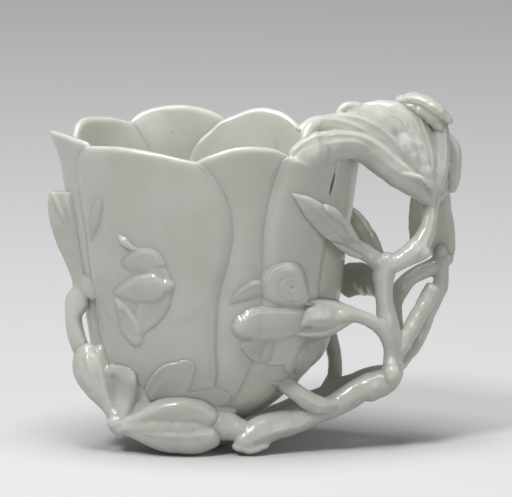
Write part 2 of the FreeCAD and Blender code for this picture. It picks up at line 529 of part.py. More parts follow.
def limb_stations(limb):
    """List the middle, direction and width share of each section, with rounded ends added."""
    middles = [limb_place(limb.side, *place[:3]) for place in limb.place_shares]
    widths = [place[3] for place in limb.place_shares]
    last = len(middles) - 1
    directions = [
        (middles[min(i + 1, last)] - middles[max(i - 1, 0)]).normalize() for i in range(last + 1)]
    stations = list(zip(middles, directions, widths))
    round_start, round_end = limb.rounded
    if round_end:
        middle, direction, width = stations[-1]
        reach = size(limb.thickness) * width
        stations += [(middle + direction * reach * out, direction, width * narrow)
                     for out, narrow in ROUND_END_SHARES]
    if round_start:
        middle, direction, width = stations[0]
        reach = size(limb.thickness) * width
        stations = [(middle - direction * reach * out, direction, width * narrow)
                    for out, narrow in reversed(ROUND_END_SHARES)] + stations
    return stations


def make_limb(name, limb):
    """Make a branch, leaf or free petal as a loft through ellipses."""
    sections = []
    for count, (middle, direction, share) in enumerate(limb_stations(limb)):
        across = direction.cross(limb.facing).normalize()
        rotation = FreeCAD.Rotation(across, direction.cross(across), direction, "ZXY")
        sections.append(ellipse_section(
            f"{name}_section_{count}", middle, rotation,
            f"sizes.{limb.width} * {share}", f"sizes.{limb.thickness} * {share}"))
    return loft(f"{name}_form", sections)


def make_foot():
    """Make the oval foot that the cup stands on."""
    level = FreeCAD.Rotation()
    top_width, top_depth = bowl_half(size("foot_height") / size("rim_height"))
    sections = [
        ellipse_section("foot_rest", FreeCAD.Vector(), level,
                        "sizes.foot_half_width - sizes.foot_round",
                        "sizes.foot_half_depth - sizes.foot_round"),
        ellipse_section("foot_edge", FreeCAD.Vector(0, 0, size("foot_round")), level,
                        "sizes.foot_half_width", "sizes.foot_half_depth"),
        ellipse_section("foot_top", FreeCAD.Vector(0, 0, size("foot_height")), level,
                        f"sizes.rim_half_width * {top_width / size('rim_half_width')}",
                        f"sizes.rim_half_depth * {top_depth / size('rim_half_depth')}"),
    ]
    foot = loft("foot", sections)
    foot.Ruled = True
    keep("foot", foot)


def make_bowl_base():
    """Make the bottom of the bowl, from the foot up to the petals, with the hollow for the cup's floor."""
    level = FreeCAD.Rotation()
    foot_share = size("foot_height") / size("rim_height")
    top_share = size("base_top_height") / size("rim_height")
    sections = []
    for count, rise in enumerate(BASE_RISE_SHARES):
        up = foot_share + (top_share - foot_share) * rise
        share = smooth(BOWL_WIDTH_SHARES, up)
        sections.append(ellipse_section(
            f"bowl_base_section_{count}", FreeCAD.Vector(bowl_middle(up), 0, size("rim_height") * up), level,
            f"sizes.rim_half_width * {share}", f"sizes.rim_half_depth * {share}"))
    outside = loft("bowl_base_outside", sections)
    share = smooth(BOWL_WIDTH_SHARES, top_share)
    hollow_sections = []
    for count, (rise, narrow) in enumerate(HOLLOW_SHARES):
        height = size("floor_height") + (size("base_top_height") - size("floor_height")) * rise
        hollow_sections.append(ellipse_section(
            f"bowl_hollow_section_{count}", FreeCAD.Vector(bowl_middle(top_share), 0, height), level,
            f"(sizes.rim_half_width * {share} - sizes.wall_thickness) * {narrow}",
            f"(sizes.rim_half_depth * {share} - sizes.wall_thickness) * {narrow}"))
    base = doc.addObject("Part::Cut", "bowl_base")
    base.Base = outside
    base.Tool = loft("bowl_hollow", hollow_sections)
    keep("bowl_base", base)


def make_wall_petal(index, petal):
    """Make one tepal of the wall between its two edges."""
    left_edge, right_edge, right_turn = petal_edges(index)
    low = size("base_top_height") / size("rim_height")
    outer, inner = [], []
    for across in ACROSS_SHARES:
        top = smooth(petal.top_shares, across)
        tip = petal.flare_share * math.exp(-((across - TIP_PLACE_SHARE) / TIP_WIDTH_SHARE) ** 2)
        outer_column, inner_column = [], []
        for rise in UP_SHARES:
            up = low + (top - low) * rise
            left = smooth(left_edge, up)
            angle = left + (smooth(right_edge, up) + right_turn - left) * across
            flare = size("lip_flare") * rise ** LIP_FLARE_POWER
            flare += size("tip_flare") * tip * rise ** TIP_FLARE_POWER
            out = petal_out(petal, across, rise) + flare
            proud = size("petal_step") * petal.proud_share * min(1, rise / UP_SHARES[2])
            thinned = (size("wall_thickness") - size("lip_thickness")) * rise ** THINNING_POWER
            thick = size("wall_thickness") - thinned
            outer_column.append(wall_point(angle, up, out))
            inner_column.append(wall_point(angle, up, out - proud - thick))
        outer.append(outer_column)
        inner.append(inner_column)
    keep(petal.name, computed(petal.name, solid_between(outer, inner)))


def make_relief(name, relief):
    """Make a petal or leaf carved in low relief on the wall."""
    outer, inner = [], []
    count = len(relief.place_shares)
    for index, (angle, up, width) in enumerate(relief.place_shares):
        before = relief.place_shares[max(index - 1, 0)]
        after = relief.place_shares[min(index + 1, count - 1)]
        along = wall_point(after[0], after[1], 0) - wall_point(before[0], before[1], 0)
        half_width, half_depth = bowl_half(up)
        turn = math.radians(angle)
        # Lengths along the wall for one degree and for one whole height
        per_degree = math.radians(math.hypot(half_width * math.cos(turn), half_depth * math.sin(turn)))
        run = math.copysign(math.hypot(along.x, along.y), after[0] - before[0])
        length = math.hypot(run, along.z)
        half = size("rim_height") * RELIEF_HALF_WIDTH_SHARE * width
        end = RELIEF_END_SHARE if index in (0, count - 1) else 1.0
        outer_row, inner_row = [], []
        for cross, stand in RELIEF_CROSS_SHARES:
            point_angle = angle - cross * half * along.z / length / per_degree
            point_up = up + cross * half * run / length / size("rim_height")
            stone = carved_out(point_angle, point_up)
            out = stone + size("relief_edge") + size(relief.height) * stand * end
            outer_row.append(wall_point(point_angle, point_up, out))
            inner_row.append(wall_point(point_angle, point_up, stone - size("relief_sink")))
        outer.append(outer_row)
        inner.append(inner_row)
    seat(name, computed(f"{name}_form", solid_between(outer, inner)))


def check(thing):
    """Stop if an object of the document has failed."""
    if {"Invalid", "Error"} & set(thing.State):
        raise RuntimeError(f"{thing.Name} failed: {thing.State}")


make_foot()
make_bowl_base()
for index, petal in enumerate(WALL_PETALS):
    make_wall_petal(index, petal)
for name, relief in RELIEFS.items():
    make_relief(name, relief)
for name, limb in LIMBS.items():
    seat(name, make_limb(name, limb))
doc.recompute()

for thing in doc.Objects:
    check(thing)
os.makedirs("parts", exist_ok=True)
for name, node in nodes.items():
    shape = node.Shape
    if shape.isNull() or not shape.isValid() or shape.Volume <= 0:
        raise RuntimeError(f"{name} has no valid solid")
    if len(shape.Solids) != 1:
        print(name, "has", len(shape.Solids), "solids")
    shape.exportStep(f"parts/{name}.step")
print(len(nodes), "nodes written")
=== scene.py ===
"""Pale jade wine cup carved as an open magnolia, with an openwork magnolia branch as its handle.

Lengths are written in millimetres of the real cup and become metres at the end, by the frame's own height.
+X points to the handle, +Y to the back and +Z up. Angles round the bowl start at the front and grow
towards the handle. Names with px in them, and the rows given to drawn, are columns and rows of the picture.
"""
import logging
import math
from dataclasses import dataclass, field
from enum import Enum
from typing import Sequence

import bpy
import numpy as np
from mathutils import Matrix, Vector


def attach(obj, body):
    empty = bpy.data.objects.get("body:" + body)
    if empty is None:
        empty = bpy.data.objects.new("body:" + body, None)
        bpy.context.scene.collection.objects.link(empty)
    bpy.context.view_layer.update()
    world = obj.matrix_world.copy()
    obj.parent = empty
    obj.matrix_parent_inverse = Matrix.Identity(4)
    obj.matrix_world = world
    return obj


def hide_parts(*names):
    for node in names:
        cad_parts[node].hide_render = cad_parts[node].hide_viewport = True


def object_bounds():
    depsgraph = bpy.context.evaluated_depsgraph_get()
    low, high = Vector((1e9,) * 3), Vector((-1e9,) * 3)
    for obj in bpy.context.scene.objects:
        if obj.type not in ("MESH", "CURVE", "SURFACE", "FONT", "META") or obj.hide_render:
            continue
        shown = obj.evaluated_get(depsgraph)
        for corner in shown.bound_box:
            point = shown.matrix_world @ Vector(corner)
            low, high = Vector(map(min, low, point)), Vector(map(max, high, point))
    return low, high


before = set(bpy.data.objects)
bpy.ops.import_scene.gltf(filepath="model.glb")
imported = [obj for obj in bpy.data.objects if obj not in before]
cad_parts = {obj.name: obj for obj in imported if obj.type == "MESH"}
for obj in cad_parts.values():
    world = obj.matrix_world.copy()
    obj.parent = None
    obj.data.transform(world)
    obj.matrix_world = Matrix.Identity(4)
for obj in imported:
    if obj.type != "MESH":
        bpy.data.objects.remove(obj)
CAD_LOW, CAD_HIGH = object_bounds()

log = logging.getLogger("cup")

# The height that the sizes below are written for, and what a millimetre of it is in the frame's metres
WRITTEN_HEIGHT = 84.489
MM = (CAD_HIGH.z - CAD_LOW.z) / WRITTEN_HEIGHT

# How the picture sees the cup: pixels for a millimetre, the column and row of the origin, the camera's tilt
PX_PER_MM = 4.2
ORIGIN_PX = (191.0, 442.0)
PICTURE_PX = (512, 497)
TILT = math.radians(10)

# Rings of each rounded end of a limb, and the share of its length over which its heading is read
CAP_RINGS = 5
HEADING_STEP = 0.01

# How deep a patch of relief dives below the wall for each pixel outside its carvings, in millimetres
GROUND_DIVE = 0.3

Table = Sequence[Sequence[float]]


class Facing(Enum):
    """Which way the flat side of a limb looks."""

    FRONT = (0.0, -1.0, 0.0)
    BACK = (0.0, 1.0, 0.0)
    UP = (0.0, 0.0, 1.0)
    LEFT_FRONT = (-1.0, -2.0, 0.0)
    WALL_LEFT = (-1.0, -1.2, 0.0)
    UP_FRONT = (0.0, -1.0, 1.0)
    UP_BACK = (0.0, 1.0, 1.0)
    HANDLE_SIDE = (1.0, -0.4, 0.0)


class End(Enum):
    """How a limb's end is shaped: its reach beyond the last place, as a share of the half thickness there."""

    ROUND = 1.0
    BLUNT = 0.45
    CUT = 0.12


def curve(table: Table, at: np.ndarray) -> np.ndarray:
    """Read a smooth curve through rows of a place and its values.

    Args:
        table: Rows of (place, value, ...), with the places in rising order.
        at: The places to read, in an array of any shape.

    Returns:
        The values at each place, in one more dimension than at.
    """
    rows = np.array(table, float)
    knots, values = rows[:, 0], rows[:, 1:]
    slopes = np.diff(values, axis=0) / np.diff(knots)[:, None]
    leans = np.vstack([slopes[:1], (slopes[:-1] + slopes[1:]) / 2, slopes[-1:]])
    at = np.clip(np.asarray(at, float), knots[0], knots[-1])
    low = np.clip(np.searchsorted(knots, at, side="right") - 1, 0, len(knots) - 2)
    span = (knots[low + 1] - knots[low])[..., None]
    u = (at - knots[low])[..., None] / span
    return (
        values[low] * (2 * u**3 - 3 * u**2 + 1) + values[low + 1] * (3 * u**2 - 2 * u**3)
        + span * (leans[low] * (u**3 - 2 * u**2 + u) + leans[low + 1] * (u**3 - u**2))
    )


def value(table: Table, at: np.ndarray) -> np.ndarray:
    """Read a table of (place, value) pairs as curve does, in the shape of at."""
    return curve(table, at)[..., 0]


def along_path(places: Table, at: np.ndarray, count: int) -> np.ndarray:
    """Read a path at shares of its length.

    Args:
        places: Rows of coordinates followed by other values.
        at: Shares of the path's length.
        count: How many of the first values are coordinates.

    Returns:
        The values at each share.
    """
    rows = np.array(places, float)
    steps = np.linalg.norm(np.diff(rows[:, :count], axis=0), axis=1)
    share = np.concatenate([[0], np.cumsum(steps)]) / steps.sum()
    return curve(np.column_stack([share, rows]), at)


def unit(vectors: np.ndarray) -> np.ndarray:
    """Give vectors the length 1."""
    return vectors / np.maximum(np.linalg.norm(vectors, axis=-1, keepdims=True), 1e-12)


def grown(at: np.ndarray, start: float, end: float) -> np.ndarray:
    """Rise smoothly from 0 at start to 1 at end."""
    u = np.clip((at - start) / (end - start), 0, 1)
    return u * u * (3 - 2 * u)


def hump(at: np.ndarray, middle: float, reach: float) -> np.ndarray:
    """Give a round hump that is 1 at its middle and gone at about twice its reach."""
    return np.exp(-(((at - middle) / reach) ** 2))


def deselect() -> None:
    """Leave object mode's selection empty, so that an operator acts on a new primitive alone."""
    bpy.ops.object.select_all(action="DESELECT")


def pick(piece: bpy.types.Object) -> None:
    """Select one piece alone and make it the active one.

    Args:
        piece: The piece.
    """
    deselect()
    bpy.context.view_layer.objects.active = piece
    piece.select_set(True)


def set_points(piece: bpy.types.Object, points: np.ndarray) -> None:
    """Move a mesh's vertices to points in millimetres."""
    piece.data.vertices.foreach_set("co", (np.asarray(points, float) * MM).astype(np.float32).ravel())
    piece.data.update()


def get_points(piece: bpy.types.Object) -> np.ndarray:
    """Read a mesh's vertices as they are.

    Args:
        piece: The piece.

    Returns:
        A row of three coordinates for each vertex.
    """
    points = np.zeros(len(piece.data.vertices) * 3, np.float32)
    piece.data.vertices.foreach_get("co", points)
    return points.reshape(-1, 3).astype(float)


def apply_modifier(piece: bpy.types.Object, kind: str, **settings: object) -> None:
    """Give a piece one modifier and apply it.

    Args:
        piece: The piece.
        kind: The modifier's type.
        settings: The modifier's settings by their names.
    """
    modifier = piece.modifiers.new(kind.lower(), kind)
    for key, setting in settings.items():
        setattr(modifier, key, setting)
    pick(piece)
    bpy.ops.object.modifier_apply(modifier=modifier.name)


def turn_outwards(piece: bpy.types.Object) -> None:
    """Make every face of a closed mesh point outwards.

    Args:
        piece: The closed piece.
    """
    pick(piece)
    bpy.ops.object.mode_set(mode="EDIT")
    bpy.ops.mesh.select_all(action="SELECT")
    bpy.ops.mesh.normals_make_consistent(inside=False)
    bpy.ops.object.mode_set(mode="OBJECT")


def ball(name: str, segments: int, rings: int) -> tuple[bpy.types.Object, np.ndarray, np.ndarray]:
    """Add the round blank that a limb or a low relief is shaped from.

    Args:
        name: The piece's name.
        segments: Vertices round it.
        rings: Vertices from one pole to the other, without the poles.

    Returns:
        The piece, each vertex's ring from 0 to rings + 1, and its angle round the middle line.
    """
    deselect()
    bpy.ops.mesh.primitive_uv_sphere_add(segments=segments, ring_count=rings + 1, radius=1)
    piece = bpy.context.object
    piece.name = piece.data.name = name
    points = get_points(piece)
    ring = np.rint(np.arccos(np.clip(points[:, 2], -1, 1)) / math.pi * (rings + 1)).astype(int)
    around = np.arctan2(points[:, 1], points[:, 0])
    return piece, ring, around


def slab(name: str, columns: int, rows: int) -> tuple[bpy.types.Object, np.ndarray]:
    """Add the flat blank that a wall petal is shaped from: a grid that is extruded once and rounded.

    Args:
        name: The piece's name.
        columns: Faces across it before it is rounded.
        rows: Faces up it before it is rounded.

    Returns:
        The piece, and for each vertex its shares across, up and through it.
    """
    deselect()
    bpy.ops.mesh.primitive_grid_add(x_subdivisions=columns, y_subdivisions=rows, size=2)
    piece = bpy.context.object
    piece.name = piece.data.name = name
    bpy.ops.object.mode_set(mode="EDIT")
    bpy.ops.mesh.select_all(action="SELECT")
    bpy.ops.mesh.extrude_region_move(TRANSFORM_OT_translate={"value": (0, 0, 1)})
    bpy.ops.object.mode_set(mode="OBJECT")
    apply_modifier(piece, "SUBSURF", levels=1, render_levels=1)
    points = get_points(piece)
    return piece, np.column_stack([(points[:, :2] + 1) / 2, points[:, 2]])


def join(name: str, pieces: Sequence[bpy.types.Object]) -> bpy.types.Object:
    """Join pieces into the first of them.

    Args:
        name: The joined piece's name.
        pieces: The pieces.

    Returns:
        The joined piece.
    """
    deselect()
    for piece in pieces:
        piece.select_set(True)
    bpy.context.view_layer.objects.active = pieces[0]
    bpy.ops.object.join()
    pieces[0].name = pieces[0].data.name = name
    return pieces[0]


@dataclass(frozen=True)
class Skin:
    """How solids melt into one skin, and how uneven the hand leaves it.

    grain: the skin's cell in millimetres.
    polish: how often the skin is smoothed.
    depth: how far the skin wanders in millimetres, where 0 leaves it even.
    reach: how far apart its hollows are, in millimetres.
    """

    grain: float
    polish: int
    depth: float = 0.0
    reach: float = 1.0


def fuse(piece: bpy.types.Object, skin: Skin) -> None:
    """Melt the solids of a joined mesh into one skin with soft crotches."""
    apply_modifier(piece, "REMESH", mode="VOXEL", voxel_size=skin.grain * MM, adaptivity=0.0)
    apply_modifier(piece, "SMOOTH", factor=0.5, iterations=skin.polish)


def pierce(piece: bpy.types.Object, tool: bpy.types.Object) -> None:
    """Cut a solid out of a piece and remove the solid."""
    apply_modifier(piece, "BOOLEAN", object=tool, operation="DIFFERENCE", solver="EXACT")
    bpy.data.objects.remove(tool)


def hand_work(piece: bpy.types.Object, depth: float, reach: float) -> None:
    """Give a skin the slight unevenness of cutting by hand.

    Args:
        piece: The piece.
        depth: How far the skin wanders, in millimetres.
        reach: How far apart its hollows are, in millimetres.
    """
    texture = bpy.data.textures.new(f"{piece.name}_hand", "CLOUDS")
    texture.noise_scale = reach * MM
    texture.noise_depth = 1
    apply_modifier(
        piece, "DISPLACE", texture=texture, texture_coords="LOCAL", strength=depth * MM, mid_level=0.5)


def soften(piece: bpy.types.Object) -> None:
    """Shade a piece smooth all over."""
    pick(piece)
    bpy.ops.object.shade_smooth()


def on_picture(px: np.ndarray, py: np.ndarray) -> tuple[np.ndarray, np.ndarray]:
    """Turn pixels into millimetres to the right of the origin and above it, as the picture shows them."""
    return (np.asarray(px) - ORIGIN_PX[0]) / PX_PER_MM, (ORIGIN_PX[1] - np.asarray(py)) / PX_PER_MM


def seen(places: Table) -> list[list[float]]:
    """Turn places on the picture into places in space.

    Args:
        places: Rows of (column px, row px, depth mm, other values).

    Returns:
        Rows of (x, y, z, other values) in millimetres.
    """
    rows = []
    for px, py, depth, *others in places:
        x, lift = on_picture(px, py)
        rows.append([float(x), depth, float((lift - depth * math.sin(TILT)) / math.cos(TILT)), *others])
    return rows


@dataclass(frozen=True)
class Jade:
    """A finish of pale jade: its colours, its polish, the marks in the stone and painted shade in creases.

    A reach is the size of a pattern's features in metres. A range is the low and the high end of a pattern
    that become 0 and 1, and a share is how strongly a mark shows.
    """

    name: str
    colour: tuple[float, float, float] = (0.53, 0.55, 0.49)
    cloud: tuple[float, float, float] = (0.58, 0.60, 0.55)
    # The darker tone of the wisps in the stone, and also the colour of the painted shade in creases
    wisp_and_crease_shade: tuple[float, float, float] = (0.44, 0.46, 0.39)
    roughness: float = 0.2
    glow: float = 0.6
    glow_reach: float = 0.0045
    glow_radius: tuple[float, float, float] = (1.0, 1.0, 0.8)
    refraction: float = 1.62
    cloud_reach: float = 0.018
    cloud_range: tuple[float, float] = (0.36, 0.68)
    wisp_range: tuple[float, float] = (0.56, 0.72)
    wisp_share: float = 0.3
    specks_per_metre: float = 90.0
    speck_range: tuple[float, float] = (0.026, 0.012)
    speck_share: float = 0.6
    speck_colour: tuple[float, float, float] = (0.12, 0.11, 0.09)
    # Painted shade: creases that ambient occlusion finds within this reach are darkened
    crease_shade_reach: float = 0.0022
    crease_shade_range: tuple[float, float] = (0.8, 0.2)
    crease_shade_share: float = 0.12
    gloss_reach: float = 0.004
    gloss_range: tuple[float, float] = (-0.05, 0.09)
    grain_reach: float = 0.0016
    grain_depth: float = 0.00012
    grain_share: float = 0.25

    def make(self) -> bpy.types.Material:
        """Build the material from its nodes.

        Returns:
            The material.
        """
        material = bpy.data.materials.new(self.name)
        material.use_nodes = True
        nodes, links = material.node_tree.nodes, material.node_tree.links
        shader = nodes["Principled BSDF"]
        shader.inputs["IOR"].default_value = self.refraction
        shader.inputs["Subsurface Weight"].default_value = self.glow
        shader.inputs["Subsurface Radius"].default_value = self.glow_radius
        shader.inputs["Subsurface Scale"].default_value = self.glow_reach
        place = nodes.new("ShaderNodeTexCoord").outputs["Object"]

        def noise(reach: float, detail: float, distortion: float = 0.0) -> bpy.types.NodeSocket:
            """Add a noise.

            Args:
                reach: How far apart its features are, in metres.
                detail: How many finer layers it has.
                distortion: How far it is warped.

            Returns:
                The noise's value.
            """
            node = nodes.new("ShaderNodeTexNoise")
            node.inputs["Scale"].default_value = 1 / reach
            node.inputs["Detail"].default_value = detail
            node.inputs["Distortion"].default_value = distortion
            links.new(place, node.inputs["Vector"])
            return node.outputs["Fac"]

        def spread(source: bpy.types.NodeSocket, low: float, high: float) -> bpy.types.NodeSocket:
            """Stretch a value between two limits to the range from 0 to 1.

            Args:
                source: The value.
                low: What becomes 0.
                high: What becomes 1.

            Returns:
                The stretched value.
            """
            node = nodes.new("ShaderNodeMapRange")
            node.interpolation_type = "SMOOTHSTEP"
            node.inputs["From Min"].default_value = low
            node.inputs["From Max"].default_value = high
            links.new(source, node.inputs["Value"])
            return node.outputs["Result"]

        def scaled(source: bpy.types.NodeSocket, share: float) -> bpy.types.NodeSocket:
            """Multiply a value by a share.

            Args:
                source: The value.
                share: The share.

            Returns:
                The product.
            """
            node = nodes.new("ShaderNodeMath")
            node.operation = "MULTIPLY"
            node.inputs[1].default_value = share
            links.new(source, node.inputs[0])
            return node.outputs["Value"]

        def mixed(share: bpy.types.NodeSocket, first: object, second: object) -> bpy.types.NodeSocket:
            """Mix two colours, each a socket or three numbers.

            Args:
                share: How much of the second there is.
                first: The first colour.
                second: The second colour.

            Returns:
                The mixed colour.
            """
            node = nodes.new("ShaderNodeMix")
            node.data_type = "RGBA"
            links.new(share, node.inputs["Factor"])
            for socket, colour in ((node.inputs[6], first), (node.inputs[7], second)):
                if isinstance(colour, tuple):
                    socket.default_value = (*colour, 1.0)
                else:
                    links.new(colour, socket)
            return node.outputs[2]

        clouds = mixed(spread(noise(self.cloud_reach, 2.0, 0.4), *self.cloud_range), self.colour, self.cloud)
        wisps = spread(noise(self.cloud_reach * 0.5, 4.0, 1.2), *self.wisp_range)
        stone = mixed(scaled(wisps, self.wisp_share), clouds, self.wisp_and_crease_shade)

        cells = nodes.new("ShaderNodeTexVoronoi")
        cells.inputs["Scale"].default_value = self.specks_per_metre
        links.new(place, cells.inputs["Vector"])
        specks = scaled(spread(cells.outputs["Distance"], *self.speck_range), self.speck_share)
        stone = mixed(specks, stone, self.speck_colour)

        # Painted shade: the colour is darkened where ambient occlusion finds creases and recesses between the
        # carvings
        hidden = nodes.new("ShaderNodeAmbientOcclusion")
        hidden.samples = 8
        hidden.inputs["Distance"].default_value = self.crease_shade_reach
        painted_crease_shade = scaled(spread(hidden.outputs["AO"], *self.crease_shade_range), self.crease_shade_share)
        stone = mixed(painted_crease_shade, stone, self.wisp_and_crease_shade)
        links.new(stone, shader.inputs["Base Color"])

        gloss = nodes.new("ShaderNodeMapRange")
        gloss.inputs["To Min"].default_value = self.roughness + self.gloss_range[0]
        gloss.inputs["To Max"].default_value = self.roughness + self.gloss_range[1]
        links.new(noise(self.gloss_reach, 4.0), gloss.inputs["Value"])
        links.new(gloss.outputs["Result"], shader.inputs["Roughness"])

        bump = nodes.new("ShaderNodeBump")
        bump.inputs["Strength"].default_value = self.grain_share
        bump.inputs["Distance"].default_value = self.grain_depth
        links.new(noise(self.grain_reach, 3.0), bump.inputs["Height"])
        links.new(bump.outputs["Normal"], shader.inputs["Normal"])
        return material


@dataclass
class Dresser:
    """Gives each finished piece its stone, its body, its slot and the nodes that it stands for."""

    stones: dict[str, bpy.types.Material] = field(default_factory=dict)

    def finish(self, piece: bpy.types.Object, slot: str, *nodes: str) -> None:
        """Dress one piece and tie it to the frame.

        Args:
            piece: The piece, with its place in its mesh.
            slot: The material slot.
            nodes: The CAD nodes that it replaces.
        """
        soften(piece)
        piece.data.materials.clear()
        piece.data.materials.append(self.stones[slot])
        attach(piece, "root")
        if nodes:
            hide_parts(*nodes)
        log.info("%s: %d faces for %s", piece.name, len(piece.data.polygons), ", ".join(nodes) or "no node")


@dataclass(frozen=True)
class Rib:
    """A raised or sunken line along a piece."""

    across: float
    height: float
    width: float
    start: float = 0.0
    end: float = 1.0


def rib_height(ribs: Sequence[Rib], along: np.ndarray, across: np.ndarray) -> np.ndarray:
    """Add up what a piece's ribs give.

    Args:
        ribs: The ribs.
        along: Shares of the piece's length.
        across: Shares of its half width, from -1 to 1.

    Returns:
        The height at each place, in millimetres.
    """
    total = np.zeros(np.shape(across))
    for rib in ribs:
        start = grown(along, rib.start - 0.08, rib.start + 0.08)
        fade = start * (1 - grown(along, rib.end - 0.12, rib.end + 0.02))
        total = total + rib.height * fade * hump(across, rib.across, rib.width)
    return total


def pillow(depth_px: np.ndarray, edge: float) -> np.ndarray:
    """Rise from a crease at the outline to 1 further in, and dive below the wall outside it.

    Args:
        depth_px: How far inside the outline, in pixels.
        edge: How wide the border is, in pixels.

    Returns:
        The share of the height.
    """
    inside = np.clip(depth_px / edge, 0, 1)
    return 0.55 * (1 - (1 - inside) ** 2) + 0.45 * inside * inside * (3 - 2 * inside)


@dataclass(frozen=True)
class Carving:
    """One petal, leaf or line of low relief on the wall.

    places_px: rows of column, row and half width in pixels, from its root to its tip.
    lift: how high it stands along its length, as rows of a share of the length and a share of its height.
    tilt: how much higher its right side stands, looking from root to tip, as a share.
    dish: how far its middle is hollowed, as a share of its height.
    edge: how wide its soft border is, in pixels.
    """

    height: float
    places_px: Table
    lift: Table = ((0.0, 0.25), (0.45, 1.0), (1.0, 0.85))
    tilt: float = 0.0
    dish: float = 0.0
    edge: float = 3.0
    ribs: Sequence[Rib] = ()

    def stand(self, px: np.ndarray, py: np.ndarray) -> np.ndarray:
        """Give how high it stands.

        Args:
            px: Columns of the picture.
            py: Rows of the picture.

        Returns:
            The height at each pixel in millimetres, and less than 0 outside it.
        """
        share = np.linspace(0, 1, 120)
        path = along_path(self.places_px, share, 2)
        heading = unit(np.gradient(path[:, :2], axis=0))
        gap_x, gap_y = px[:, None] - path[None, :, 0], py[:, None] - path[None, :, 1]
        nearest = np.argmin(gap_x**2 + gap_y**2, axis=1)
        rows = np.arange(len(px))
        dx, dy = gap_x[rows, nearest], gap_y[rows, nearest]
        half = np.maximum(path[nearest, 2], 0.5)
        side = np.sign(heading[nearest, 0] * dy - heading[nearest, 1] * dx)
        across = np.clip(side * np.hypot(dx, dy) / half, -1.5, 1.5)
        depth_px = half - np.hypot(dx, dy)
        body = pillow(depth_px, self.edge) * (1 - 0.2 * across**2)
        body = body * (1 - self.dish * np.clip(1 - across**2, 0, 1) ** 1.5) * (1 + self.tilt * across)
        rise = self.height * value(self.lift, share[nearest]) * body
        rise = rise + rib_height(self.ribs, share[nearest], across) * grown(depth_px / self.edge, 0.0, 0.5)
        return np.where(depth_px < 0, GROUND_DIVE * depth_px, rise)


@dataclass(frozen=True)
class SwirlBud(Carving):
    """The rolled bud of the right blossom: a dome of wrapped petals with a pit in its middle."""

    centre_px: tuple[float, float] = (287.5, 286.0)
    outline_px: Table = (
        (-180, 25.5), (-162, 26.0), (-140, 26.5), (-110, 22.0), (-82, 21.0), (-62, 23.0), (-46, 25.5),
        (-27, 23.5), (-10, 20.0), (10, 18.5), (36, 20.0), (66, 24.0), (95, 27.0), (125, 28.5), (152, 27.5),
        (180, 26.0),
    )
    petal_lines: Sequence[float] = (0.72, 0.83, 0.93)
    groove: float = 0.16
    pit: float = 0.7

    def stand(self, px: np.ndarray, py: np.ndarray) -> np.ndarray:
        """Give how high it stands.

        Args:
            px: Columns of the picture.
            py: Rows of the picture.

        Returns:
            The height at each pixel in millimetres, and less than 0 outside it.
        """
        dx, dy = px - self.centre_px[0], self.centre_px[1] - py
        radius, degrees = np.hypot(dx, dy), np.degrees(np.arctan2(dy, dx))
        outline = value(self.outline_px, degrees)
        reach = radius / outline
        depth_px = outline - radius
        dome = self.height * pillow(depth_px, self.edge) * (1 - 0.12 * reach**2)
        wound = (degrees - 60) % 360
        spiral = 9.5 + 8.0 * wound / 360
        inked = grown(wound, 0, 90) * (1 - 0.8 * grown(wound, 210, 350))
        off = radius - spiral
        dome = dome - self.groove * inked * hump(off, 0.0, 0.8) + 0.1 * inked * hump(off, -2.2, 1.8)
        crown = grown(np.abs((degrees - 125 + 180) % 360 - 180), 95, 50) * grown(reach, 0.6, 0.7)
        for line in self.petal_lines:
            dome = dome - self.groove * crown * hump(reach, line, 0.018)
            dome = dome + 0.12 * crown * hump(reach, line + 0.045, 0.028)
        dome = dome - self.pit * hump(radius, 0.0, 1.2)
        return np.where(depth_px < 0, GROUND_DIVE * depth_px, dome)


def cap_stations(count: int) -> tuple[np.ndarray, np.ndarray, np.ndarray]:
    """List the rings of a limb from pole to pole, with its two rounded ends.

    Args:
        count: Rings between the ends.

    Returns:
        For each ring its share of the length, its size as a share, and its reach beyond the start
        (negative) or the end (positive), as a share of the end's reach.
    """
    turn = np.arange(0, CAP_RINGS + 1) / (CAP_RINGS + 1) * math.pi / 2
    share = np.concatenate([np.zeros(CAP_RINGS + 1), np.linspace(0, 1, count), np.ones(CAP_RINGS + 1)])
    narrow = np.concatenate([np.sin(turn), np.ones(count), np.sin(turn)[::-1]])
    beyond = np.concatenate([-np.cos(turn), np.zeros(count), np.cos(turn)[::-1]])
    return share, narrow, beyond


@dataclass(frozen=True)
class Knot:
    """A swelling or a waist along a limb: its place, how much it swells and how far it reaches, as shares."""

    at: float
    swell: float
    reach: float


@dataclass(frozen=True)
class Limb:
    """A branch, leaf or free petal.

    places: rows of x, y, z, half width and half thickness in millimetres, from root to tip.
    cup: how far its edges bend towards its flat side, as a share of the half width.
    round_power: 1 is an ellipse, and less makes the section squarer.
    waver: how uneven its girth is, as a share.
    """

    places: Table
    facing: Facing = Facing.FRONT
    start: End = End.ROUND
    end: End = End.ROUND
    cup: float = 0.0
    round_power: float = 1.0
    waver: float = 0.06
    ribs: Sequence[Rib] = ()
    knots: Sequence[Knot] = ()
    segments: int = 32
    rings: int = 40


def drawn(places_px: Table) -> list[list[float]]:
    """Turn rows of (column px, row px, depth mm, half width px, half thickness mm) into a limb's places."""
    return [[x, y, z, half / PX_PER_MM, thick] for x, y, z, half, thick in seen(places_px)]


def squared(wave: np.ndarray, power: float) -> np.ndarray:
    """Push a sine or cosine towards 1 and -1 by a power below 1."""
    return np.sign(wave) * np.abs(wave) ** power


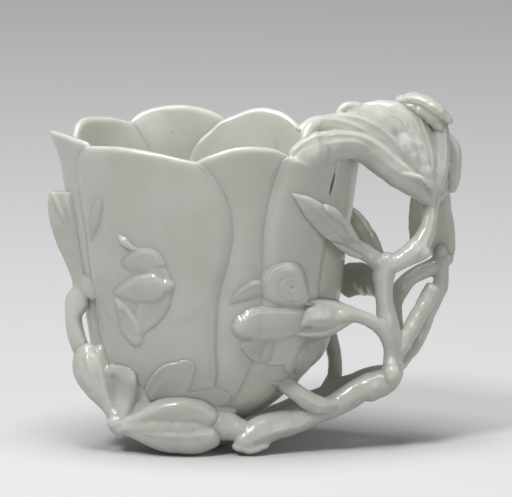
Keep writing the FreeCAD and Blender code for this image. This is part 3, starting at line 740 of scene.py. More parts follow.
def limb_mesh(name: str, limb: Limb) -> bpy.types.Object:
    """Shape a limb from a ball that is drawn out along its path.

    Args:
        name: The piece's name.
        limb: What it is like.

    Returns:
        The closed piece.
    """
    piece, ring, around = ball(name, limb.segments, limb.rings + 2 * CAP_RINGS)
    share, narrow, beyond = cap_stations(limb.rings)
    along, narrow, beyond = share[ring], narrow[ring], beyond[ring]
    rows = along_path(limb.places, along, 3)
    ahead = along_path(limb.places, np.clip(along + HEADING_STEP, 0, 1), 3)[:, :3]
    behind = along_path(limb.places, np.clip(along - HEADING_STEP, 0, 1), 3)[:, :3]
    heading = unit(ahead - behind)
    facing = np.array(limb.facing.value)
    front = unit(facing - heading * (heading @ facing)[:, None])
    aside = np.cross(heading, front)
    half, thick = rows[:, 3].copy(), rows[:, 4].copy()
    for knot in limb.knots:
        grow = 1 + knot.swell * hump(along, knot.at, knot.reach)
        half, thick = half * grow, thick * grow
    wave = np.sin(along * 17 + 2 * np.sin(around)) + 0.6 * np.sin(along * 41 + 3 * np.cos(around))
    uneven = 1 + limb.waver * 0.5 * wave
    across = squared(np.cos(around), limb.round_power)
    deep = squared(np.sin(around), limb.round_power)
    x = across * half * narrow * uneven
    y = deep * thick * narrow * uneven
    y = y + rib_height(limb.ribs, along, across) * np.clip(np.sin(around) * 3, 0, 1) * narrow
    y = y + limb.cup * half * across**2 * narrow
    reach = np.where(beyond < 0, limb.start.value, limb.end.value) * thick * beyond
    points = rows[:, :3] + heading * reach[:, None] + aside * x[:, None] + front * y[:, None]
    set_points(piece, points)
    turn_outwards(piece)
    return piece


def fused(name: str, limbs: dict[str, Limb], skin: Skin) -> bpy.types.Object:
    """Shape limbs and melt them into one piece of stone.

    Args:
        name: The piece's name.
        limbs: The limbs by their names.
        skin: How they melt.

    Returns:
        The piece.
    """
    piece = join(name, [limb_mesh(f"{name}_{part}", limb) for part, limb in limbs.items()])
    fuse(piece, skin)
    if skin.depth:
        hand_work(piece, skin.depth, skin.reach)
    return piece


def dress_leaves(dresser: Dresser, limbs: dict[str, Limb], slot: str, depth: float, reach: float) -> None:
    """Shape free leaves and dress each for its own node.

    Args:
        dresser: What dresses them.
        limbs: The leaves by the nodes that they stand for.
        slot: The material slot.
        depth: How far their skin wanders, in millimetres.
        reach: How far apart its hollows are, in millimetres.
    """
    for name, limb in limbs.items():
        piece = limb_mesh(f"{name}_carved", limb)
        hand_work(piece, depth, reach)
        dresser.finish(piece, slot, name)


def arm_root() -> Limb:
    """Describe the fold in which the front right tepal's lip turns into the crown's arm.

    Returns:
        The limb.
    """
    return Limb(drawn((
        (291, 170, -23.2, 6, 0.7), (300, 161, -22.6, 15, 1.3), (312, 154.5, -20.9, 18.5, 1.9),
        (325, 150.2, -18.5, 17.6, 2.25), (339, 147.2, -15.3, 15.3, 2.3), (352, 147, -12.6, 13.2, 2.05))),
        cup=-0.1, rings=60, ribs=(Rib(-0.84, 0.55, 0.09, 0.1, 1.2), Rib(-0.6, -0.28, 0.1, 0.1, 1.2)))


def rim_slit() -> Limb:
    """Describe the narrow slit that is pierced under the crown's arm.

    Returns:
        The limb that is cut away.
    """
    return Limb([
        [34.0, -18.0, 67.6, 0.2, 3.2], [33.5, -18.0, 65.2, 0.42, 3.2], [32.9, -18.0, 63.0, 0.2, 3.2]],
        end=End.CUT, start=End.CUT, segments=12, rings=8, waver=0.0)


@dataclass(frozen=True)
class WallPetal:
    """One tepal of the wall: how proud it stands, how far its tip turns out, its top edge and its mesh.

    beaded: whether a fine bead runs down its right border.
    """

    name: str
    proud: float
    top: Table
    tip: float = 0.0
    columns: int = 26
    rows: int = 50
    beaded: bool = False


@dataclass
class Bowl:
    """The wall of nine tepals with its carving, the floor and the foot."""

    dresser: Dresser
    arm_root: Limb
    slit: Limb
    rim_height: float = 75.0
    rim_half_width: float = 34.5
    rim_half_depth: float = 28.0
    shift: float = 5.0
    wall_thickness: float = 2.5
    lip_thickness: float = 1.5
    step: float = 0.9
    inner_step: float = 0.45
    swell: float = 0.7
    lip_flare: float = 0.8
    tip_flare: float = 2.4
    tip_place: float = 0.4
    tip_width: float = 0.2
    foot_height: float = 5.5
    floor_height: float = 8.0
    margin: float = 1.3
    dive: float = 0.35
    border_step: Table = ((0.0, 0.03), (0.4, 0.05), (0.6, 0.09), (0.75, 0.26), (0.88, 0.4), (1.0, 0.5))
    border_reach: float = 1.7
    bed_reach: float = 5.0
    bead: float = 0.14
    face_out: float = 0.8
    face_rounds: int = 14
    turn_limit: float = 0.95
    turn_rest: float = 0.04
    tip_drop: float = 0.012
    floor_inset: float = 2.9
    under_inset: float = 0.7
    oval_segments: int = 96
    back_rings: int = 34
    lip_skin: Skin = Skin(0.31, 2)
    width_shares: Table = (
        (0.067, 0.28), (0.09, 0.40), (0.13, 0.52), (0.19, 0.63), (0.27, 0.745),
        (0.39, 0.828), (0.6, 0.908), (0.8, 0.964), (0.9, 0.985), (1.0, 1.01),
    )
    shift_shares: Table = ((0.06, 0.0), (0.2, 0.55), (0.4, 0.98), (0.6, 0.95), (0.8, 0.95), (1.0, 1.0))
    edges: Sequence[Table] = (
        ((0.0, -60), (0.16, -61), (0.4, -66), (0.6, -65.5), (0.7, -64.5), (0.8, -65.4), (0.9, -64.6),
         (0.96, -60), (1.03, -46)),
        ((0.0, 8), (0.16, 8), (0.27, 5.8), (0.37, 3.0), (0.51, 3.2), (0.63, 7.1), (0.71, 8.8), (0.76, 8.5),
         (0.83, 6.3), (0.9, 1.2), (0.97, -6.1), (1.03, -13)),
        ((0.0, 22), (0.16, 22), (0.5, 23), (0.65, 23), (0.74, 23), (0.84, 25), (0.9, 27), (1.03, 33)),
        ((0.0, 56), (0.16, 56), (0.5, 57), (0.9, 59), (1.03, 60)),
        ((0.0, 104), (0.16, 104), (1.03, 106)),
        ((0.0, 136), (0.16, 136), (0.7, 137), (0.94, 139), (1.03, 145)),
        ((0.0, 184), (0.16, 184), (0.5, 189), (0.75, 191), (0.86, 188), (0.91, 184), (0.95, 178.5),
         (1.03, 169)),
        ((0.0, 205), (0.16, 205), (0.5, 203), (0.8, 205), (0.89, 208), (0.94, 211.5), (1.03, 217)),
        ((0.0, 248), (0.16, 248), (0.7, 252), (0.94, 253), (1.03, 250)),
    )
    petals: Sequence[WallPetal] = (
        WallPetal("front_left", proud=1.0, columns=80, rows=60, beaded=True, top=(
            (0.0, 0.992), (0.15, 0.998), (0.35, 1.003), (0.75, 0.99), (1.0, 0.966))),
        WallPetal("front_middle", proud=0.0, columns=30, rows=60, top=(
            (0.0, 0.966), (0.2, 0.987), (0.5, 1.012), (0.8, 1.004), (1.0, 0.98))),
        WallPetal("front_right", proud=1.0, columns=54, rows=80, top=(
            (0.0, 0.975), (0.15, 0.965), (0.3, 0.95), (1.0, 0.95))),
        WallPetal("handle_side", proud=0.0, columns=34, rows=60, top=(
            (0.0, 0.975), (0.3, 0.99), (0.6, 0.99), (1.0, 0.95))),
        WallPetal("back_right", proud=1.0, top=(
            (0.0, 0.95), (0.3, 0.98), (0.6, 0.985), (1.0, 0.945))),
        WallPetal("back_handle", proud=0.0, top=(
            (0.0, 0.945), (0.12, 0.985), (0.5, 1.017), (0.8, 1.01), (1.0, 0.98))),
        WallPetal("back_middle", proud=1.0, top=(
            (0.0, 0.98), (0.2, 1.005), (0.5, 1.024), (0.8, 1.01), (1.0, 0.98))),
        WallPetal("back_left", proud=0.0, top=(
            (0.0, 0.98), (0.2, 1.0), (0.4, 1.007), (0.75, 1.01), (0.9, 0.99), (1.0, 0.95))),
        WallPetal("left_tip", proud=0.3, tip=1.0, columns=36, rows=60, top=(
            (0.0, 0.955), (0.2, 0.98), (0.4, 1.009), (0.55, 1.011), (0.76, 1.006), (0.93, 1.0),
            (1.0, 0.99))),
    )

    def half(self, up: np.ndarray) -> tuple[np.ndarray, np.ndarray]:
        """Give the half width and half depth at shares of the rim's height."""
        share = value(self.width_shares, up)
        return self.rim_half_width * share, self.rim_half_depth * share

    def wall(self, angle: np.ndarray, up: np.ndarray, out: np.ndarray) -> np.ndarray:
        """Give points of the wall.

        Args:
            angle: Degrees round the bowl.
            up: Shares of the rim's height.
            out: Millimetres outside the plain wall.

        Returns:
            The points in millimetres.
        """
        half_width, half_depth = self.half(up)
        turn = np.radians(angle)
        return np.stack([
            self.middle(up) + (half_width + out) * np.sin(turn),
            -(half_depth + out) * np.cos(turn),
            self.rim_height * np.asarray(up, float),
        ], axis=-1)

    def middle(self, up: np.ndarray) -> np.ndarray:
        """Give how far the wall's middle is shifted towards the handle at shares of the rim's height."""
        return self.shift * value(self.shift_shares, up)

    def rooted(self, up: np.ndarray) -> np.ndarray:
        """Give how far the petals stand apart, from 0 at their roots to 1."""
        return grown(up, 0.1, 0.32)

    def edge_pair(self, index: int, up: np.ndarray) -> tuple[np.ndarray, np.ndarray]:
        """Give a petal's two visible edges.

        Args:
            index: Which petal.
            up: Shares of the rim's height.

        Returns:
            The angles of its left and its right edge, in degrees.
        """
        last = index == len(self.petals) - 1
        right = value(self.edges[0 if last else index + 1], up) + (360 if last else 0)
        return value(self.edges[index], up), right

    def borders(self, index: int, across: np.ndarray, up: np.ndarray) -> list[tuple[np.ndarray, np.ndarray]]:
        """Describe a petal's two borders.

        Args:
            index: Which petal.
            across: Shares of its width.
            up: Shares of the rim's height.

        Returns:
            For each side, the distance from the border in mm and the petal's level there.
        """
        petal, rise = self.petals[index], self.rooted(up)
        left, right = self.edge_pair(index, up)
        width = np.radians(right - left) * self.half(up)[0]
        sides = []
        for side, neighbour in ((across, index - 1), (1 - across, (index + 1) % len(self.petals))):
            gap = petal.proud - self.petals[neighbour].proud
            low = self.step * min(petal.proud, self.petals[neighbour].proud) * rise
            stand = value(self.border_step, up) * rise * abs(gap)
            sides.append((side * width, low + stand * (gap > 0)))
        return sides

    def petal_out(self, index: int, across: np.ndarray, up: np.ndarray, reach: float) -> np.ndarray:
        """Give how far a petal's face stands outside the plain wall.

        Args:
            index: Which petal.
            across: Shares of its width.
            up: Shares of the rim's height.
            reach: How wide its borders are, in millimetres.

        Returns:
            The distance in millimetres.
        """
        petal, rise = self.petals[index], self.rooted(up)
        out = (self.step * petal.proud + self.swell * np.sin(np.pi * np.clip(across, 0, 1))) * rise
        for distance, level in self.borders(index, across, up):
            drop = self.step * petal.proud * rise - level
            out = out - drop * hump(np.clip(distance, 0, None), 0.0, reach)
        return out

    def level(self, angle: np.ndarray, up: np.ndarray) -> np.ndarray:
        """Give the level of the front of the wall, smooth over its borders, as the bed of the low relief.

        Args:
            angle: Degrees round the bowl.
            up: Shares of the rim's height.

        Returns:
            Millimetres outside the plain wall.
        """
        out = np.zeros(len(angle))
        last = len(self.petals) - 1
        for index in (last, 0, 1, 2, 3):
            left, right = self.edge_pair(index, up)
            across = (angle + 360 * (index == last) - left) / (right - left)
            here = (across >= 0) & (across < 1)
            out[here] = self.petal_out(index, across, up, self.bed_reach)[here]
        return out

    def find(self, px: np.ndarray, py: np.ndarray) -> tuple[np.ndarray, np.ndarray]:
        """Find the places of the wall that are seen at pixels.

        Args:
            px: Columns of the picture.
            py: Rows of the picture.

        Returns:
            The angles in degrees and the shares of the rim's height.
        """
        x, lift = on_picture(px, py)
        y = np.full(len(px), -0.6 * self.rim_half_depth)
        for _ in range(self.face_rounds):
            up = (lift - y * math.sin(TILT)) / math.cos(TILT) / self.rim_height
            half_width, half_depth = self.half(up)
            sine = (x - self.middle(up)) / (half_width + self.face_out)
            past = np.maximum(np.abs(sine) - self.turn_limit, 0)
            eased = self.turn_rest * (1 - np.exp(-past / self.turn_rest))
            sine = np.sign(sine) * (np.minimum(np.abs(sine), self.turn_limit) + eased)
            y = 0.5 * y - 0.5 * (half_depth + self.face_out) * np.sqrt(1 - sine**2)
        return np.degrees(np.arcsin(sine)), up

    def make_petal(self, index: int) -> bpy.types.Object:
        """Shape one tepal from a flat blank, whose margins dive into its neighbours.

        Args:
            index: Which petal.

        Returns:
            The closed piece.
        """
        petal = self.petals[index]
        piece, shares = slab(f"{petal.name}_petal", petal.columns, petal.rows)
        spread, rise, through = shares[:, 0], shares[:, 1], shares[:, 2]
        low = self.foot_height / self.rim_height
        margin = 2 / petal.columns
        across = (spread - margin) / (1 - 2 * margin)
        beyond = np.maximum(np.maximum(margin - spread, spread - 1 + margin), 0) / margin
        up = low + (1.0 - low) * rise
        left, right = self.edge_pair(index, up)
        width = np.radians(right - left) * self.half(up)[0]
        across = np.clip(across, 0, 1) + np.sign(across - 0.5) * beyond * self.margin / width
        top = value(petal.top, across) - self.tip_drop * beyond
        up = low + (top - low) * rise
        left, right = self.edge_pair(index, up)
        angle = left + (right - left) * across
        tip = petal.tip * hump(across, self.tip_place, self.tip_width)
        flare = self.lip_flare * rise**6 + self.tip_flare * tip * rise**13
        thickness = self.wall_thickness - (self.wall_thickness - self.lip_thickness) * rise**3
        dive = self.dive * thickness * beyond
        out = self.petal_out(index, across, up, self.border_reach) + flare
        if petal.beaded:
            distance = self.borders(index, across, up)[1][0]
            bead = self.bead * hump(distance, 1.0, 0.32) - self.bead * hump(distance, 0.35, 0.3)
            out = out + bead * grown(up, 0.14, 0.2) * (1 - grown(up, 0.44, 0.56))
        inner = self.inner_step * petal.proud * grown(up, 0.35, 0.8) + flare - thickness + dive
        set_points(piece, self.wall(angle, up, inner + (out - dive - inner) * through))
        turn_outwards(piece)
        hand_work(piece, 0.1, 9.0)
        return piece

    def turned(self, name: str, profile: Table) -> bpy.types.Object:
        """Shape an oval solid from a ball.

        Args:
            name: The piece's name.
            profile: Rows of half width, half depth, height and shift, from its top middle downwards.

        Returns:
            The piece.
        """
        piece, ring, around = ball(name, self.oval_segments, len(profile) - 2)
        rows = np.array(profile, float)[ring]
        set_points(piece, np.column_stack([
            rows[:, 3] + rows[:, 0] * np.cos(around), rows[:, 1] * np.sin(around), rows[:, 2]]))
        turn_outwards(piece)
        apply_modifier(piece, "SUBSURF", levels=1, render_levels=1)
        return piece

    def make_base(self) -> bpy.types.Object:
        """Shape the bowl's bottom: the floor inside and the underside that the tepals grow from.

        Returns:
            The closed piece.
        """
        profile = [(0.0, 0.0, self.floor_height, 1.0)]
        for rise, share in ((0.01, 0.2), (0.06, 0.4), (0.2, 0.62), (0.5, 0.82), (1.0, 0.95), (1.6, 1.0)):
            up = (self.floor_height + 4.0 * rise) / self.rim_height
            half_width, half_depth = (share * (half - self.floor_inset) for half in self.half(up))
            profile.append((half_width, half_depth, up * self.rim_height, float(self.middle(up))))
        for height in (14.0, 12.5, 11.0, 9.5, 8.0, 6.8, 6.0, 5.5):
            up = height / self.rim_height
            half_width, half_depth = (half - self.under_inset for half in self.half(up))
            profile.append((half_width, half_depth, height, float(self.middle(up))))
        profile += [(5.0, 4.5, 5.3, 0.0), (0.0, 0.0, 5.3, 0.0)]
        return self.turned("bowl_floor", profile)

    def make_foot(self) -> bpy.types.Object:
        """Shape the oval foot, with a shallow dish under it.

        Returns:
            The closed piece.
        """
        profile = [
            (0.0, 0.0, 6.4, 0.0), (5.0, 4.4, 6.4, 0.0), (9.9, 8.9, 6.3, 0.0), (10.6, 9.5, 6.1, 0.0),
            (10.0, 9.0, 5.2, 0.0), (9.7, 8.7, 4.0, 0.0), (9.75, 8.75, 2.4, 0.0), (9.95, 8.95, 1.1, 0.0),
            (9.9, 8.9, 0.45, 0.0), (9.5, 8.5, 0.08, 0.0), (8.9, 7.9, 0.0, 0.0), (8.0, 7.0, 0.0, 0.0),
            (7.3, 6.3, 0.15, 0.0), (6.6, 5.6, 0.55, 0.0), (3.5, 3.0, 0.75, 0.0), (0.0, 0.0, 0.8, 0.0),
        ]
        return self.turned("oval_foot", profile)

    def make_back_carving(self) -> bpy.types.Object:
        """Shape the large petal of low relief on the back.

        Returns:
            The closed piece.
        """
        piece, ring, around = ball("back_bloom_petal", 40, self.back_rings + 2 * CAP_RINGS)
        share, narrow, _ = cap_stations(self.back_rings)
        along, narrow = share[ring], narrow[ring]
        rows = curve((
            (0.0, 126, 0.44, 0.01), (0.3, 138, 0.45, 0.045), (0.65, 156, 0.44, 0.055),
            (1.0, 172, 0.43, 0.03),
        ), along)
        across = np.cos(around)
        up = rows[:, 1] + rows[:, 2] * across * narrow
        body = np.power(np.clip(1 - np.abs(across) ** 3, 0, 1), 0.5) * narrow**0.7
        out = np.where(np.sin(around) > -1e-6, 0.4 + 1.7 * body, -0.8 * np.abs(np.sin(around)) * narrow)
        set_points(piece, self.wall(rows[:, 0], up, 0.9 + out))
        turn_outwards(piece)
        return piece

    def build(self) -> None:
        """Build the tepals, the floor and the foot."""
        for index, petal in enumerate(self.petals):
            piece = self.make_petal(index)
            if petal.name == "front_right":
                piece = join(piece.name, [piece, limb_mesh("arm_root", self.arm_root)])
                fuse(piece, self.lip_skin)
                pierce(piece, limb_mesh("rim_slit", self.slit))
            self.dresser.finish(piece, "bowl_jade", f"wall_petal_{petal.name}")
        self.dresser.finish(self.make_base(), "bowl_jade", "bowl_base")
        self.dresser.finish(self.make_foot(), "bowl_jade", "foot")
        self.dresser.finish(self.make_back_carving(), "carved_jade", "back_bloom_large_petal")


@dataclass(frozen=True)
class Relief:
    """A patch of low relief on the wall: its frame in pixels of the picture, its carvings and its nodes."""

    name: str
    frame_px: tuple[float, float, float, float]
    nodes: Sequence[str]
    carvings: Sequence[Carving]
    cell_px: float = 1.9
    hidden: float = 0.5
    bed: float = 1.1

    def shape(self, bowl: Bowl) -> bpy.types.Object:
        """Shape the patch: its carvings stand on the wall, and all else of it lies in the wall.

        Args:
            bowl: The bowl that it lies on.

        Returns:
            The closed piece.
        """
        left, top, right, bottom = self.frame_px
        columns, rows = (round(side / self.cell_px) for side in (right - left, bottom - top))
        piece, shares = slab(self.name, columns, rows)
        px, py = left + (right - left) * shares[:, 0], bottom - (bottom - top) * shares[:, 1]
        body = np.full(len(px), -self.hidden)
        for carving in self.carvings:
            body = np.maximum(body, carving.stand(px, py))
        angle, up = bowl.find(px, py)
        level = bowl.level(angle, up)
        set_points(piece, bowl.wall(angle, up, level - self.bed + (body + self.bed) * shares[:, 2]))
        turn_outwards(piece)
        hand_work(piece, 0.05, 4.0)
        return piece


def reliefs() -> list[Relief]:
    """List the leaves and blossoms carved in low relief on the front of the wall.

    Returns:
        The patches.
    """
    return [
        Relief("left_wall_leaf_relief", (84, 182, 115, 268), ("left_wall_leaf",), (
            Carving(0.5, (
                (90, 262, 0.8), (91, 250, 2.0), (94, 237, 5.5), (97.5, 223, 8), (101, 209, 7.5),
                (105, 197, 4.6), (109, 188, 1.0)), lift=((0.0, 0.2), (0.35, 0.9), (0.8, 0.9),
                (1.0, 0.4)), edge=6.0,
                tilt=-0.3),
        )),
        Relief("left_bloom", (104, 229, 182, 346), (
            "left_bloom_middle_petal", "left_bloom_upper_petal", "left_bloom_outer_petal", "left_bloom_curl",
            "left_bloom_lower_petal"), (
            Carving(0.36, (
                (150, 258, 6), (161, 270, 9), (163, 286, 12), (158, 300, 15), (151, 314, 13.5),
                (145, 326, 8), (141, 335, 3)), lift=((0.0, 0.4), (0.3, 0.9), (0.8, 0.9),
                (1.0, 0.6)), tilt=0.25, dish=0.3,
                edge=4.5),
            Carving(0.95, (
                (123, 236, 2.0), (127.5, 241, 4.8), (132.5, 245.5, 4), (138, 248.5, 2.8), (145, 250.5, 1.6)),
                lift=((0.0, 0.8), (0.25, 1.0), (1.0, 0.3)), edge=3.4),
            Carving(0.5, (
                (124, 266, 3), (134, 262, 10), (146, 259.5, 13.5), (155, 260.5, 12.5), (161, 263.5, 8)),
                lift=((0.0, 0.0), (0.5, 0.85), (1.0, 1.0)), tilt=-0.85, edge=7.0),
            Carving(0.7, (
                (120, 299, 3.0), (124.5, 307, 6.5), (130.5, 319, 9.5), (136, 331, 10.5), (139, 338.5, 7)),
                lift=((0.0, 1.1), (0.25, 0.7), (0.7, 0.6), (1.0, 0.8)), dish=0.25, tilt=-0.3, edge=5.5,
                ribs=(Rib(-0.66, 0.25, 0.2, 0.2, 0.95), Rib(0.0, 0.35, 0.3, 0.0, 0.3))),
            Carving(1.05, (
                (108, 293.5, 1.0), (119, 292, 4.5), (129, 290, 10.5), (140, 289, 15), (151, 288.5, 17),
                (161, 287, 15.6), (168, 285.5, 9)), lift=((0.0, 0.0), (0.3, 0.25), (0.7, 0.85), (1.0, 1.0)),
                edge=8.0, tilt=-0.15, ribs=(Rib(-0.74, 0.16, 0.1, 0.5, 1.0),
                    Rib(-0.58, -0.12, 0.07, 0.5, 0.95))),
        )),
        Relief("right_bloom", (226, 253, 338, 392), (
            "right_bloom_large_petal", "right_bloom_bud", "right_bloom_under_petal",
            "right_bloom_small_petal", "right_bloom_left_petal"), (
            Carving(0.42, (
                (231, 303, 2.0), (240, 296, 6.5), (249, 291, 9), (259, 288, 9), (268, 288, 6)),
                lift=((0.0, 0.3), (0.6, 0.9), (1.0, 0.9)), dish=0.2, edge=6.0,
                ribs=(Rib(-0.5, 0.15, 0.2, 0.2, 0.9),)),
            Carving(0.65, (
                (308, 335, 8), (295, 342, 13), (279, 347.5, 16.5), (263, 349.5, 15), (251, 347.5, 9.5),
                (245, 345, 5)),
                lift=((0.0, 0.6), (0.5, 0.9), (1.0, 0.8)), dish=0.3, edge=3.0,
                ribs=(Rib(-0.86, 0.2, 0.08),)),
            Carving(0.8, (
                (302, 342, 6), (296, 350, 9), (290, 360, 10), (288, 368, 7.5), (288.5, 373, 3)),
                lift=((0.0, 0.6), (0.5, 0.8), (1.0, 0.9)), tilt=0.2, edge=4.0),
            Carving(1.0, (
                (328, 336, 5), (324, 344, 8), (317, 353, 8.5), (311, 362, 5)),
                lift=((0.0, 0.8), (0.5, 0.9), (1.0, 0.8)), edge=4.0),
            Carving(1.35, (
                (322, 339, 4), (314, 347, 8), (306, 356, 10), (301, 365, 8.5), (298.5, 372, 4)),
                lift=((0.0, 0.6), (0.5, 0.85), (1.0, 1.0)), tilt=-0.3, dish=0.15, edge=4.5,
                ribs=(Rib(0.7, 0.2, 0.12, 0.2, 0.95),)),
            Carving(1.45, (
                (322, 318, 12), (303, 319.5, 14), (286, 321.5, 17), (268, 323.5, 18.5), (253, 325, 17.5),
                (245, 326.5, 13)), lift=((0.0, 0.9), (0.5, 0.95), (1.0, 1.0)), edge=7.0,
                ribs=(Rib(0.86, 0.14, 0.06, 0.1, 0.95), Rib(0.75, -0.14, 0.04, 0.15, 0.95),
                      Rib(-0.1, 0.15, 0.35, 0.7, 1.0))),
            Carving(2.3, (
                (337, 315, 11), (326, 316.5, 14), (314, 318, 13), (307, 319, 8)),
                lift=((0.0, 1.0), (0.6, 0.95), (1.0, 0.7)), edge=5.0),
            Carving(2.2, ((336, 327, 8), (320, 330, 9), (307, 332, 7), (298, 333, 3)),
                    lift=((0.0, 1.0), (0.6, 0.8), (1.0, 0.4)), edge=5.0),
            Carving(2.7, ((336, 306, 7), (322, 304.5, 7), (311, 304, 6), (303, 303, 3)),
                    lift=((0.0, 1.0), (0.6, 0.85), (1.0, 0.4)), edge=5.5),
            SwirlBud(1.5, ((287, 286, 32), (288, 287, 32)), edge=10.0),
            Carving(0.8, (
                (300, 374, 4), (292, 381, 7.5), (283, 385, 8), (272, 382.5, 3)),
                lift=((0.0, 0.8), (0.5, 1.0), (1.0, 0.6)), edge=4.0),
        )),
        Relief("base_wall_petals", (118, 358, 234, 410), ("base_petal_low",), (
            Carving(0.8, (
                (140, 424, 5), (160, 412, 10), (180, 405, 12.5), (200, 401, 12.5), (216, 398, 11.5),
                (226, 397, 7)),
                lift=((0.0, 0.4), (0.5, 0.8), (1.0, 0.6)), dish=0.2, edge=4.5,
                ribs=(Rib(-0.85, 0.25, 0.1, 0.4, 0.95),)),
            Carving(0.75, (
                (134, 424, 4), (146, 409, 9), (157, 396, 14), (169, 384, 18.5), (179, 375, 17.5),
                (187, 367.5, 11)),
                lift=((0.0, 0.6), (0.5, 0.8), (1.0, 0.9)), dish=0.4, edge=3.2,
                ribs=(Rib(-0.88, 0.2, 0.08), Rib(0.88, 0.2, 0.07), Rib(0.68, 0.14, 0.06, 0.4, 1.0),
                      Rib(-0.3, 0.22, 0.16, 0.1, 0.8))),
            Carving(0.9, (
                (128, 420, 8), (129, 405, 14), (128, 392, 15), (125.5, 379, 12.5), (123, 371, 9)),
                lift=((0.0, 1.0), (0.5, 0.9), (1.0, 0.6)), edge=6.0),
        )),
    ]


@dataclass
class Places:
    """Turns shares of the cup's sizes into places, for limbs that follow the frame's own."""

    bowl: Bowl
    handle_reach: float = 25.0

    def handle_side(self, shares: Table, width: float, thickness: float) -> list[list[float]]:
        """Place a limb at the handle's side.

        Args:
            shares: Rows of shares of the handle's reach beyond the rim, of depth, of height and of the girth.
            width: Its half width in millimetres.
            thickness: Its half thickness in millimetres.

        Returns:
            The limb's places.
        """
        rim_right = self.bowl.shift + self.bowl.rim_half_width
        return [
            [rim_right + self.handle_reach * across, self.bowl.rim_half_depth * deep,
             self.bowl.rim_height * up, width * share, thickness * share]
            for across, deep, up, share in shares
        ]


